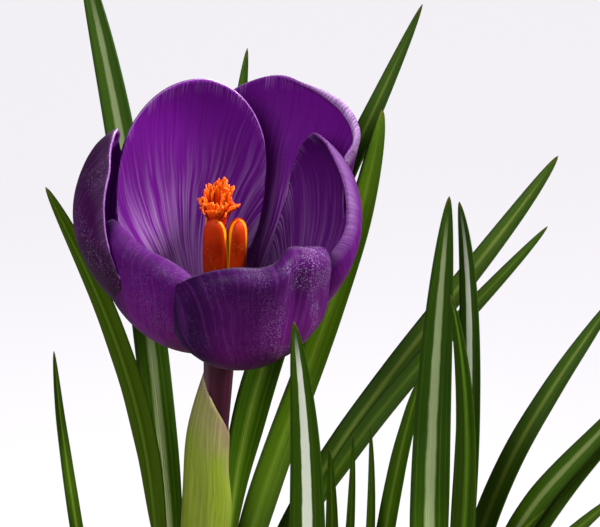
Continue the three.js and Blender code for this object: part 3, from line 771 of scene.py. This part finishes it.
def makeStamens():
    material = antherMaterial()
    shape = stamenShape
    for index, (turn, distance, length, width, thick, slits) in enumerate(shape["places"]):
        azimuth = math.radians(turn)
        out = Vector((math.cos(azimuth), math.sin(azimuth), 0))
        side = Vector((-out.y, out.x, 0))
        bm = bmesh.new()

        def groove(s, t):
            away = min(abs((t - slit + 0.5) % 1 - 0.5) for slit in slits)
            return math.exp(-(away / shape["slitWidth"]) ** 2)

        def anther(s, t):
            angle = t * 2 * math.pi
            blunt = math.sqrt(max(0, 1 - (2 * max(s - 0.5, 0)) ** 7))
            full = max(0.02, along((0.6, 0.95, 1, 0.97, 0.9, 0.8), s) * blunt)
            flute = 1 - shape["slitDepth"] * groove(s, t)
            middle = distance - shape["splay"] * (1 - s)
            return bloomFrame @ (
                out * (middle + thick / 2 * full * flute * math.cos(angle))
                + side * (width / 2 * full * flute * math.sin(angle))
                + Vector((0, 0, shape["from"] + length * s)))

        def filament(s, t):
            angle = t * 2 * math.pi
            foot, fromAxis = bloomShape["boreFoot"], shape["fromAxis"]
            spread = fromAxis + (distance - shape["splay"] - fromAxis) * smoothstep(s, 0.4, 1)
            radius = shape["filament"] + shape["filamentSwell"] * smoothstep(s, 0.85, 1)
            return bloomFrame @ (
                out * (spread + radius * math.cos(angle)) + side * (radius * math.sin(angle))
                + Vector((0, 0, foot + (shape["from"] + 0.8 - foot) * s)))

        addGrid(bm, 44, 40, anther, {"groove": groove}, closed=True)
        addGrid(bm, 24, 12, filament, {"groove": 0.0}, closed=True)
        finishPiece(f"stamen_whole_{index + 1}", bm, [material], [f"stamen_{index + 1}"])
    print("stamens made")


stigmaShape = {
    "from": 24.6, "thickness": 0.2, "baseRadius": 1.5, "columnRadius": 0.42,
    # azimuth, how far out and how high each sheet reaches, half of its width in degrees
    "lobes": ((188, 1.3, 3.9, 40), (200, 0.7, 4.5, 50), (330, 1.8, 3.6, 36), (315, 0.9, 4.2, 50),
              (265, 0.8, 3.3, 52), (250, 0.2, 4.2, 50), (60, 0.6, 6.7, 60), (45, 0.0, 6.4, 62),
              (15, 0.9, 5.9, 44), (95, -0.4, 5.8, 60), (130, 0.6, 5.6, 46), (355, -0.2, 5.0, 60)),
}


def makeStigma():
    shape = stigmaShape
    bm = bmesh.new()
    foot, slim = bloomShape["boreFoot"], shape["columnRadius"]

    def column(s, t):
        radius = slim + (shape["baseRadius"] + 0.15 - slim) * smoothstep(s, 0.8, 0.97)
        return bloomFrame @ polar(radius, t * 2 * math.pi, foot + s * (shape["from"] + 0.9 - foot))

    material = stigmaMaterial()
    addGrid(bm, 30, 20, column, uvPlace=lambda s, t: (t, 0.1), closed=True)
    closeHoles(bm)
    finishPiece("style_column", bm, [material], ["style"])
    frills = bmesh.new()
    for number, (turn, reach, rise, halfWidth) in enumerate(shape["lobes"]):

        def lobeSheet(s, across):
            # a sheet that flares from the base, with a finely ruffled rim
            t = 2 * across - 1
            edge = s ** 1.6
            folds = Vector((t * 3.4, number * 5.3, s * 0.8))
            wander = 3 * noise.noise(folds * 0.8)
            ruffle = edge * (0.26 * math.sin(15 * t + wander + number) + 0.6 * noise.noise(folds))
            out = shape["baseRadius"] * (0.75 + 0.25 * s) + reach * s ** 1.5 + ruffle
            twist = edge * 10 * noise.noise(folds * 1.7 + Vector((0, 9, 0)))
            angle = math.radians(turn + halfWidth * t * (0.6 + 0.4 * s) + twist)
            fringe = 0.12 * math.sin(31 * t + 2 * wander)
            fringe += 0.45 * noise.noise(folds * 2.6 + Vector((5, 0, 0)))
            height = shape["from"] - 1 + (rise + 0.4) * s * (1 - 0.25 * t * t) + edge * fringe
            return bloomFrame @ polar(out, angle, height)

        addGrid(frills, 24, 96, lobeSheet)
    piece = finishPiece("stigma_frills", frills, [material], ["style"])
    thicken(piece, shape["thickness"], 0)
    print("stigma made")


# leaves

leafShape = {
    "steps": 64,
    "keel": 0.95,
    "stemFoot": 78.3,
    "soilTop": 88,
    "bore": 3.3,  # in the main stem, for the flower tube
    # half of the section: share of the half width, millimetres above the middle plane
    "upper": ((0, 0.05), (0.2, 0.08), (0.42, 0.15), (0.65, 0.22), (0.85, 0.28), (0.97, 0.26)),
    "under": ((1.0, 0.05), (0.99, -0.16), (0.92, -0.3), (0.78, -0.32), (0.6, -0.22), (0.4, -0.26)),
    "ridge": ((0.24, -0.62), (0.12, -0.93), (0, -1)),  # as shares of the keel
}

usualShoot = {"sheath": 4.6, "ring": 2.2}

# on the ring, lower bend from the shoot's centre, upper bend, tip, width, facing, bluntness, tone (the
# leaf's own green, lighter or darker also as painted light and shade), stripe
shoots = {
    "main": {"at": (-17.5, 3), "corm": 10, "sheath": 7.3, "ring": 4.5, "leaves": (
        (125, (-6, 8, 36), (-25, 17, 172), (-37, 25, 219), 5.8, 265, 7, 0.35, 0.72),
        (180, (-7, 2, 40), (-23, 4, 146), (-42, 4, 184), 4.3, 75, 7, 0.7, 0.25),
        (80, (1, 7, 35), (-15, 19, 156), (-9, 27, 202), 4.2, 262, 5, 0.4, 0.5),
        (40, (2.5, 6, 34), (8, 11, 154), (14, 20, 193), 5.4, 285, 8, 0.6, 0.2))},
    "back": {"at": (-10, 20), "corm": 8, "leaves": (
        (170, (-7.5, 0, 50), (0, 24, 161), (21, 30, 209), 7, 250, 2.2, 0.35, 0.35),
        (50, (-5, 2, 24), (25, 26, 152), (45, 30, 182), 4.6, 235, 6, 0.55, 0.5),
        (310, (4, -1, 34), (21, 21, 146), (43, 24, 171), 3.9, 240, 4, 0.5, 0.2))},
    "middle": {"at": (8, 5), "corm": 6.5, "leaves": (
        (60, (6, 2, 24), (15, 8, 130), (21, 8, 150), 3.6, 240, 5, 0.5, 0.3),
        (200, (-3, -1, 17), (6, 1, 122), (5, 0, 139), 2.9, 270, 3, 0.25, 0.1),
        (250, (-1, -2, 15), (9, 1, 122), (9, 2, 141), 2, 270, 3, 0.3, 0.1),
        (330, (3, -1, 16), (13, 5, 122), (12, 6, 141), 2, 270, 3, 0.3, 0.1))},
    "front": {"at": (1, -31), "corm": 8, "leaves": (
        (90, (-1, 2, 31), (3, -30, 142), (-1, -32, 173), 6.5, 272, 3.2, 0.3, 1.0),
        (210, (-2, -1, 9), (-5, -35, 104), (-9, -39, 114), 3, 30, 3, 0.5, 0.5),
        (330, (2, -1, 8), (6, -34, 103), (11, -37, 111), 3, 150, 3, 0.5, 0.5))},
    "right": {"at": (24, -13), "corm": 10, "leaves": (
        (150, (-3, 2, 35), (21, -10, 150), (24, -8, 186), 7.1, 268, 3, 0.15, 0.75),
        (50, (1, 3, 20), (31, -5, 157), (26, -1, 183), 4.4, 258, 4, 0.2, 0.92),
        (280, (-1, -3, 23), (31, -17, 141), (24, -16, 172), 4.2, 90, 3.4, 0.2, 0.2))},
    "far_right": {"at": (29, 7), "corm": 8, "leaves": (
        (80, (-4, 4, 30), (38, 13, 137), (55, 16, 162), 4.6, 240, 4, 0.45, 0.45),
        (345, (1, -1, 40), (45, 4, 129), (59, 3, 152), 4.6, 240, 4, 0.5, 0.6),
        (25, (3, 1, 22), (43, 9, 126), (58, 10, 142), 3.6, 230, 4, 0.6, 0.2),
        (290, (1.5, -3, 14), (38, -1, 118), (55, -1, 132), 3.4, 230, 4, 0.6, 0.3),
        (220, (-1, -3, 13), (31, -1, 119), (41, -5, 130), 2.4, 240, 3, 0.6, 0.3))},
    "left": {"at": (-34, 9), "corm": 7, "leaves": (
        (190, (-2, 0, 20), (-41, 9, 130), (-42, 10, 153), 2.7, 300, 3, 0.4, 0.4),
        (70, (1, 2, 10), (-32, 14, 105), (-30, 19, 115), 2.8, 260, 3, 0.5, 0.5),
        (310, (1.5, -2, 9), (-31, 5, 102), (-27, 2, 110), 2.8, 130, 3, 0.5, 0.5))},
}
shoots = {name: {**usualShoot, **shoot} for name, shoot in shoots.items()}


def leafMaterial():
    material, tree, shader = newMaterial("leaf")
    place, uv = coordinate(tree, "Object"), coordinate(tree, "UV")
    across = component(tree, uv, "X")
    tone, stripe, share = (attribute(tree, name) for name in ("tone", "stripe", "share"))
    fibres = streaks(tree, uv, 30.0, 1.2, 2.0)
    mottle = clouds(tree, place, 45.0, 3.0)
    # each leaf's tone with a mottle: partly its own green, partly painted light and shade on the leaves
    # that are lit or shaded
    shade = maths(tree, "MULTIPLY_ADD", mottle, 0.4, maths(tree, "SUBTRACT", tone, 0.2))
    upper = ramp(tree, shade, [
        (0.0, (0.012, 0.036, 0.001)), (0.5, (0.036, 0.088, 0.001)), (1.0, (0.10, 0.165, 0.002))])
    under = ramp(tree, shade, [
        (0.0, (0.024, 0.058, 0.001)), (0.5, (0.058, 0.118, 0.001)), (1.0, (0.12, 0.185, 0.002))])
    body = wash(tree, upper, under, across, 0.995, 1.005)
    body = wash(tree, body, (0.085, 0.17, 0.006), fibres, 0.48, 0.66, 0.4)
    # the broader the pale stripe on the midrib, the paler it is and the sharper its edges
    fromMiddle = distanceFrom(tree, across, 0.5)
    uneven = maths(tree, "MULTIPLY_ADD", clouds(tree, place, 260.0, 2.0), 0.06, fromMiddle)
    width = maths(tree, "MULTIPLY_ADD", stripe, 0.035, 0.15)
    sharpness = maths(tree, "MULTIPLY_ADD", maths(tree, "POWER", stripe, 3.0), 28.0, 5.0)
    inStripe = maths(tree, "MULTIPLY", maths(tree, "SUBTRACT", width, uneven), sharpness, clamp=True)
    inStripe = times(tree, inStripe, rescale(tree, share, 0.99, 0.9))
    pale = ramp(tree, stripe, [
        (0.0, (0.10, 0.18, 0.006)), (0.5, (0.16, 0.235, 0.03)), (0.75, (0.25, 0.31, 0.14)),
        (1.0, (0.74, 0.79, 0.64))])
    colour = mixColour(tree, inStripe, body, pale)
    # painted shade: darker towards the margins, where the blade turns away
    colour = wash(tree, colour, (0.010, 0.028, 0.001), fromMiddle, 0.22, 0.5, 0.6)
    # the ridge under the leaf, its dry tip and its pale foot
    ridge = distanceFrom(tree, across, 1.5)
    colour = wash(tree, colour, (0.09, 0.18, 0.012), ridge, 0.12, 0.03, 0.5)
    colour = wash(tree, colour, (0.13, 0.09, 0.02), share, 0.98, 1.0, 0.6)
    colour = wash(tree, colour, (0.50, 0.55, 0.30), share, 0.16, 0.04)
    tree.links.new(colour, shader.inputs["Base Color"])
    shader.inputs["Roughness"].default_value = 0.42
    shader.inputs["Specular IOR Level"].default_value = 0.14
    bump(tree, shader, fibres, 0.00025, 0.5)
    letThrough(tree, shader, mixColour(tree, 0.5, colour, (0.16, 0.30, 0.004)), 0.25)
    return material


def leafSection(half, keel):
    upper, under = leafShape["upper"], leafShape["under"]
    ridge = [(x, y * keel) for x, y in leafShape["ridge"]]
    rightHalf = list(under) + ridge
    top = [(-x, y) for x, y in reversed(upper)] + list(upper[1:])
    bottom = rightHalf + [(-x, y) for x, y in reversed(rightHalf[:-1])]
    thin = min(1, half / 1.2)
    return [(x * half, y * (0.35 + 0.65 * thin)) for x, y in top + bottom]


def addLeaf(bm, shoot, leaf, number):
    on, bend, over, tip, width, face, blunt, tone, stripe = leaf
    centre = Vector((*shoot["at"], 0))
    start = math.radians(on)
    foot = centre + polar(shoot["ring"], start, leafShape["stemFoot"] + 3)
    line = [foot, centre + Vector(bend) + Vector((0, 0, leafShape["soilTop"])), Vector(over), Vector(tip)]
    turn = math.radians((face - on) % 360 - 180)
    points = len(leafSection(1, 1))
    topPoints = 2 * len(leafShape["upper"]) - 1

    def shareAt(s):
        # the steps get shorter towards the tip
        return 1 - (1 - s) ** 1.25

    def ring(s):
        tangent = bezierTangent(line, s)
        angle = start + math.pi + turn * smoothstep(s, 0.1, 0.6)
        upper = polar(1, angle, 0)
        upper = (upper - tangent * upper.dot(tangent)).normalized()
        swell = 0.6 + 0.4 * smoothstep(s, 0.05, 0.4)
        half = width / 2 * swell * max(0, 1 - s ** blunt) ** 0.6
        return bezier(line, s), tangent.cross(upper), upper, half

    rings = {}

    def place(s, t):
        share = shareAt(s)
        if share not in rings:
            middle, side, upper, half = ring(share)
            half = max(half, 0.02)
            keel = min(leafShape["keel"], 0.3 + half * 0.5) * min(1, half / 0.6)
            section = leafSection(half, keel)
            wave = 0.12 * noise.noise(Vector((share * 9, number, 3)))
            rings[share] = [middle + side * a + upper * (b + wave * abs(a)) for a, b in section]
        return rings[share][round(t * points) % points]

    def uvPlace(s, t):
        k = round(t * points)
        xs = [x for x, y in leafSection(1, 1)]
        if k < topPoints:
            return ((xs[k] + 1) / 2, s)
        return (1 + (1 - xs[k]) / 2, s) if k < points else (2.0, s)

    addGrid(bm, leafShape["steps"], points, place, {
        "tone": tone, "stripe": stripe, "share": lambda s, t: shareAt(s),
    }, uvPlace, closed=True)


def makeLeaves():
    material = leafMaterial()
    number = 0
    for name, shoot in shoots.items():
        bm = bmesh.new()
        for leaf in shoot["leaves"]:
            addLeaf(bm, shoot, leaf, number)
            number += 1
        radius = shoot["sheath"] - 1
        foot, top = leafShape["stemFoot"], leafShape["soilTop"]
        bore = leafShape["bore"] if name == "main" else 0
        stem = [(0, foot), (radius, foot), (radius, top - 0.8), (radius - 0.5, top), (bore, top)]
        stem += [(bore, foot + 3), (0, foot + 3)] if bore else []
        addGrid(bm, len(stem) - 1, 32, lambda s, t: lathePoint(stem, shoot["at"], s, t),
                {"tone": 0.6, "stripe": 0.0, "share": 0.02}, lambda s, t: (0.25, s * 0.1), closed=True)
        closeHoles(bm)
        finishPiece(f"leaf_tuft_{name}", bm, [material], [f"leaves_{name}"])
    print("leaves made")


# sheaths, soil and pot

def lathePoint(profile, centre, s, turn):
    place = s * (len(profile) - 1)
    i = min(int(place), len(profile) - 2)
    f = place - i
    r = profile[i][0] * (1 - f) + profile[i + 1][0] * f
    z = profile[i][1] * (1 - f) + profile[i + 1][1] * f
    angle = turn * 2 * math.pi
    return Vector((centre[0] + r * math.cos(angle), centre[1] + r * math.sin(angle), z))


sheathShape = {
    "wall": 0.5,
    "rise": 6,
    "flare": 1.3,
    "ragged": 1.6,
    "cormDepth": 22,
    "cormFlatness": 0.8,
}


def sheathMaterial():
    material, tree, shader = newMaterial("sheath")
    place = coordinate(tree, "Object")
    fibres = streaks(tree, coordinate(tree, "UV"), 60.0, 6.0, 21.0)
    colour = ramp(tree, clouds(tree, place, 260.0, 4.0), [
        (0.3, (0.30, 0.19, 0.09)), (0.5, (0.52, 0.42, 0.26)), (0.7, (0.66, 0.58, 0.42))])
    colour = wash(tree, colour, (0.24, 0.14, 0.06), fibres, 0.5, 0.38, 0.7)
    # darker just where it comes out of the soil
    colour = wash(tree, colour, (0.09, 0.055, 0.03), component(tree, place, "Z"), 0.0925, 0.0875, 0.75)
    tree.links.new(colour, shader.inputs["Base Color"])
    shader.inputs["Roughness"].default_value = 0.62
    bump(tree, shader, fibres, 0.0004, 0.8)
    return material


def cormProfile(shoot, margin):
    depth = leafShape["soilTop"] - sheathShape["cormDepth"]
    flat = sheathShape["cormFlatness"]
    profile = [(0, depth - shoot["corm"] * flat - margin)]
    for i in range(1, 24):
        angle = i / 24 * math.pi - math.pi / 2
        radius = shoot["corm"] * math.cos(angle)
        if angle > 0 and radius < shoot["sheath"]:
            break
        profile.append((radius + margin, depth + shoot["corm"] * flat * math.sin(angle)))
    profile.append((shoot["sheath"] + margin, leafShape["stemFoot"] - 1))
    return profile


def makeSheaths():
    material = sheathMaterial()
    for number, (name, shoot) in enumerate(shoots.items()):
        top = leafShape["soilTop"] + sheathShape["rise"]
        radius, wall = shoot["sheath"], sheathShape["wall"]
        profile = cormProfile(shoot, 0)
        shoulder = len(profile) - 1
        for i in range(1, 9):
            f = i / 8
            z = leafShape["stemFoot"] + (top - leafShape["stemFoot"]) * f
            profile.append((radius + sheathShape["flare"] * smoothstep(f, 0.55, 1), z))
        profile += [(r - wall, z) for r, z in reversed(profile[shoulder:])]
        profile.append((0, leafShape["stemFoot"] - 1))

        def place(s, t):
            point = lathePoint(profile, shoot["at"], s, t)
            angle = t * 2 * math.pi
            around = Vector((math.cos(angle) * 1.4, math.sin(angle) * 1.4, number * 3.7))
            if point.z > leafShape["soilTop"] - 6:
                high = smoothstep(point.z, leafShape["soilTop"] - 1, top)
                tear = noise.noise(around * 1.5) + 0.6 * noise.noise(around * 5)
                point.z -= high * sheathShape["ragged"] * (0.6 + tear)
                fold = 0.28 * noise.noise(around * 2.6 + Vector((0, 0, point.z * 0.05)))
                point.x += fold * math.cos(angle)
                point.y += fold * math.sin(angle)
            return point

        bm = bmesh.new()
        addGrid(bm, len(profile) - 1, 64, place, closed=True)
        finishPiece(f"sheath_and_corm_{name}", bm, [material], [f"corm_{name}"])
    print("sheaths made")


soilShape = {
    "top": leafShape["soilTop"],
    "edgeDrop": 1.2,
    "gap": 0.3,
    "lumps": 0.8,
    "pitPlay": 0.1,
    "crumbs": 1500,
    "clods": 90,
    "perlite": 34,
    "bark": 60,
    "seed": 7,
}

potShape = {
    "height": 98,
    "footRadius": 41,
    "neckRadius": 52.5,
    "bandFoot": 72,
    "bandRadius": 57,
    "topRadius": 59,
    "lip": 2,
    "floor": 6,
    "floorRadius": 35.5,
    "mouthRadius": 53,
    "bevel": 0.9,
    "sides": 128,
    "holes": 3,
    "holeRadius": 4.5,
    "holesFrom": 21,
}


def potInside(z):
    low, high = potShape["floor"], potShape["height"]
    f = (z - low) / (high - low)
    return potShape["floorRadius"] * (1 - f) + potShape["mouthRadius"] * f


def soilHeight(x, y):
    place = Vector((x, y, 0))
    rim = potInside(soilShape["top"])
    edge = smoothstep(place.length / rim, 0.8, 1)
    lump = noise.noise(place * 0.11) + 0.5 * noise.noise(place * 0.37) + 0.3 * noise.noise(place * 0.9)
    mound = sum(0.8 * math.exp(-((place.xy - Vector(shoot["at"])).length / (shoot["sheath"] + 4)) ** 2)
                for shoot in shoots.values())
    return soilShape["top"] - soilShape["edgeDrop"] * edge + soilShape["lumps"] * lump + mound - 0.4


def soilMaterial():
    # tone is 0 in the soil, 0.6 in bark and 1 in perlite
    material, tree, shader = newMaterial("soil")
    place = coordinate(tree, "Object")
    tone = attribute(tree, "tone")
    fine = clouds(tree, place, 900.0, 6.0, 0.7)
    damp = clouds(tree, place, 60.0, 3.0)
    mixed = maths(tree, "MULTIPLY_ADD", fine, 0.5, times(tree, damp, 0.5))
    body = ramp(tree, mixed, [
        (0.36, (0.010, 0.006, 0.004)), (0.52, (0.035, 0.021, 0.013)), (0.66, (0.085, 0.052, 0.032))])
    bark = ramp(tree, fine, [(0.3, (0.05, 0.022, 0.010)), (0.7, (0.17, 0.09, 0.045))])
    perlite = ramp(tree, fine, [(0.3, (0.42, 0.40, 0.36)), (0.7, (0.72, 0.70, 0.66))])
    colour = wash(tree, body, bark, tone, 0.3, 0.5)
    colour = wash(tree, colour, perlite, tone, 0.8, 0.95)
    tree.links.new(colour, shader.inputs["Base Color"])
    tree.links.new(rescale(tree, damp, 0.35, 0.65, 0.75, 1.0), shader.inputs["Roughness"])
    bump(tree, shader, fine, 0.0008, 0.9)
    return material


def bakeModifiers(piece):
    graph = bpy.context.evaluated_depsgraph_get()
    mesh = bpy.data.meshes.new_from_object(piece.evaluated_get(graph))
    piece.modifiers.clear()
    old, name = piece.data, piece.data.name
    piece.data = mesh
    bpy.data.meshes.remove(old)
    mesh.name = name


def carve(piece, cutterMesh):
    cutter = addObject("cutter", cutterMesh)
    cut = piece.modifiers.new("cut", "BOOLEAN")
    cut.operation = "DIFFERENCE"
    cut.solver = "EXACT"
    cut.object = cutter
    bakeModifiers(piece)
    bpy.data.objects.remove(cutter)


def makeSoil():
    rim = potInside(soilShape["top"]) - soilShape["gap"]
    bottom = potShape["floor"] + soilShape["gap"]
    bm = bmesh.new()

    def place(s, t):
        angle = t * 2 * math.pi
        if s <= 0.8:
            radius = rim * s / 0.8
            x, y = radius * math.cos(angle), radius * math.sin(angle)
            return Vector((x, y, soilHeight(x, y)))
        if s <= 0.9:
            x, y = rim * math.cos(angle), rim * math.sin(angle)
            high = soilHeight(x, y)
            z = high + (bottom - high) * (s - 0.8) / 0.1
            return polar(potInside(z) - soilShape["gap"], angle, z)
        return polar((potInside(bottom) - soilShape["gap"]) * (1 - s) / 0.1, angle, bottom)

    addGrid(bm, 100, 200, place, {"tone": 0.0}, closed=True)
    material = soilMaterial()
    piece = finishPiece("potting_soil", bm, [material], ["soil"])
    pits = bmesh.new()
    play, over = soilShape["pitPlay"], soilShape["top"] + 6
    for shoot in shoots.values():
        profile = cormProfile(shoot, play) + [(shoot["sheath"] + play, over), (0, over)]
        addGrid(pits, len(profile) - 1, 64,
                lambda s, t: lathePoint(profile, shoot["at"], s, t), closed=True)
    carve(piece, makeMesh("pits", pits))
    makeCrumbs(material, rim)
    print("soil made")


def makeCrumbs(material, rim):
    dice = random.Random(soilShape["seed"])
    bm = bmesh.new()
    tone = floatLayer(bm, "tone")
    kinds = (
        # how many, smallest and largest radius, how much longer than broad at most, subdivisions, tone
        (soilShape["crumbs"], 0.35, 1.0, 1.5, 1, 0.0),
        (soilShape["clods"], 1.0, 2.0, 1.4, 2, 0.0),
        (soilShape["perlite"], 0.5, 1.0, 1.2, 2, 1.0),
        (soilShape["bark"], 0.4, 0.8, 4.0, 1, 0.6),
    )
    for count, smallest, largest, stretch, subdivisions, kind in kinds:
        for _ in range(count):
            size = dice.uniform(smallest, largest)
            # some of the crumbs gather round the sheaths
            if kind == 0.0 and subdivisions == 1 and dice.random() < 0.3:
                shoot = dice.choice(list(shoots.values()))
                angle = dice.uniform(0, 2 * math.pi)
                away = shoot["sheath"] + size * 0.7 + dice.uniform(0, 2.5)
                x, y = shoot["at"][0] + away * math.cos(angle), shoot["at"][1] + away * math.sin(angle)
            else:
                angle, radius = dice.uniform(0, 2 * math.pi), rim * math.sqrt(dice.random())
                x, y = radius * math.cos(angle), radius * math.sin(angle)
            turn = Matrix.Rotation(dice.uniform(0, 6.28), 4, "Z")
            turn = turn @ Matrix.Rotation(dice.uniform(-0.5, 0.5), 4, "X")
            long = dice.uniform(1, stretch)
            if math.hypot(x, y) > rim - size * max(1, long * 0.7):
                continue
            if any(math.hypot(x - o["at"][0], y - o["at"][1]) < o["sheath"] + 0.5 * size
                   for o in shoots.values()):
                continue
            shape = Matrix.Diagonal((size * long, size, size * dice.uniform(0.6, 0.9), 1))
            rest = Matrix.Translation(Vector((x, y, soilHeight(x, y) + size * 0.25)))
            made = bmesh.ops.create_icosphere(bm, subdivisions=subdivisions, radius=1)["verts"]
            knead = dice.uniform(0, 100)
            for vert in made:
                bulge = 1 + 0.35 * noise.noise(vert.co * 1.3 + Vector((knead, 0, 0)))
                vert.co = (rest @ turn @ shape @ (vert.co * bulge)) * mm
                vert[tone] = kind
    finishPiece("soil_crumbs", bm, [material], ["soil"])


def potMaterial():
    material, tree, shader = newMaterial("fired clay")
    place = coordinate(tree, "Object")
    height = component(tree, place, "Z")
    fine = clouds(tree, place, 700.0, 4.0)
    colour = ramp(tree, clouds(tree, place, 22.0, 5.0), [
        (0.3, (0.36, 0.115, 0.05)), (0.5, (0.45, 0.165, 0.075)), (0.7, (0.52, 0.22, 0.11))])
    colour = wash(tree, colour, (0.60, 0.32, 0.19), fine, 0.35, 0.65, 0.25)
    # lime that dries out of the clay, most of it low down and under the band
    low = rescale(tree, height, 0.045, 0.0)
    underBand = rescale(tree, distanceFrom(tree, height, 0.068), 0.008, 0.0)
    cloudy = rescale(tree, clouds(tree, place, 48.0, 6.0, 0.65), 0.46, 0.68)
    lime = times(tree, cloudy, maths(tree, "MAXIMUM", low, underBand))
    colour = mixColour(tree, times(tree, lime, 0.6), colour, (0.68, 0.57, 0.48))
    specks = grain(tree, place, 900.0, 60.0)[0]
    colour = mixColour(tree, times(tree, specks, 0.35), colour, (0.20, 0.07, 0.035))
    tree.links.new(colour, shader.inputs["Base Color"])
    tree.links.new(rescale(tree, fine, 0.3, 0.7, 0.78, 0.95), shader.inputs["Roughness"])
    # rings left by turning
    rings = addNode(tree, "TexWave", {
        "Vector": place, "Scale": 110.0, "Distortion": 1.2, "Detail": 2.0, "Detail Scale": 0.6,
    }, bands_direction="Z").outputs["Fac"]
    bump(tree, shader, maths(tree, "MULTIPLY_ADD", rings, 0.35, fine), 0.0004, 0.5)
    return material


def makePot():
    shape = potShape
    lip, band, top, floor = shape["lip"], shape["bandFoot"], shape["height"], shape["floor"]
    profile = [
        (0, 0), (shape["footRadius"], 0), (shape["neckRadius"], band), (shape["bandRadius"], band),
        (shape["topRadius"], top - lip), (shape["topRadius"] - lip, top), (potInside(top) + 1, top),
        (potInside(top - 1), top - 1), (potInside(floor), floor), (0, floor),
    ]
    bm = bmesh.new()
    verts = [bm.verts.new(Vector((r, 0, z)) * mm) for r, z in profile]
    edges = [bm.edges.new(pair) for pair in zip(verts, verts[1:])]
    bmesh.ops.spin(bm, geom=verts + edges, cent=(0, 0, 0), axis=(0, 0, 1), angle=2 * math.pi,
                   steps=shape["sides"], use_merge=True)
    bmesh.ops.remove_doubles(bm, verts=bm.verts, dist=1e-6)
    bmesh.ops.recalc_face_normals(bm, faces=bm.faces)
    corners = [e for e in bm.edges if len(e.link_faces) == 2 and e.calc_face_angle(0) > 0.3
               and abs(e.verts[0].co.z - e.verts[1].co.z) < 1e-6]
    bmesh.ops.bevel(bm, geom=corners, offset=shape["bevel"] * mm, segments=3, profile=0.5,
                    affect="EDGES", material=-1)
    piece = finishPiece("clay_pot", bm, [potMaterial()], ["pot"])
    holes = bmesh.new()
    radius = shape["holeRadius"] * mm
    for i in range(shape["holes"]):
        place = polar(shape["holesFrom"], i / shape["holes"] * 2 * math.pi, floor / 2) * mm
        bmesh.ops.create_cone(holes, cap_ends=True, segments=40, radius1=radius, radius2=radius,
                              depth=floor * 3 * mm, matrix=Matrix.Translation(place))
    carve(piece, makeMesh("holes", holes))
    piece.data.shade_smooth()
    piece.data.set_sharp_from_angle(angle=math.radians(35))
    print("pot made")


# floor

def makeFloor():
    bm = bmesh.new()
    bmesh.ops.create_grid(bm, x_segments=1, y_segments=1, size=4)
    mesh = makeMesh("floor", bm)
    material, tree, shader = newMaterial("floor")
    shader.inputs["Base Color"].default_value = (0.13, 0.125, 0.13, 1)
    shader.inputs["Roughness"].default_value = 0.9
    # the paper glows a little, so that it is one even white behind the plant
    seen = addNode(tree, "LightPath").outputs["Is Camera Ray"]
    shader.inputs["Emission Color"].default_value = (0.93, 0.905, 0.95, 1)
    tree.links.new(times(tree, seen, 0.9), shader.inputs["Emission Strength"])
    mesh.materials.append(material)
    floor = addObject("floor", mesh)


makeCamera()
makeLights()
makeFloor()
makeTepals()
makeFlowerTube()
makeSpathe()
makeStamens()
makeStigma()
makeLeaves()
makeSheaths()
makeSoil()
makePot()

bpy.context.scene.view_settings.view_transform = "Standard"
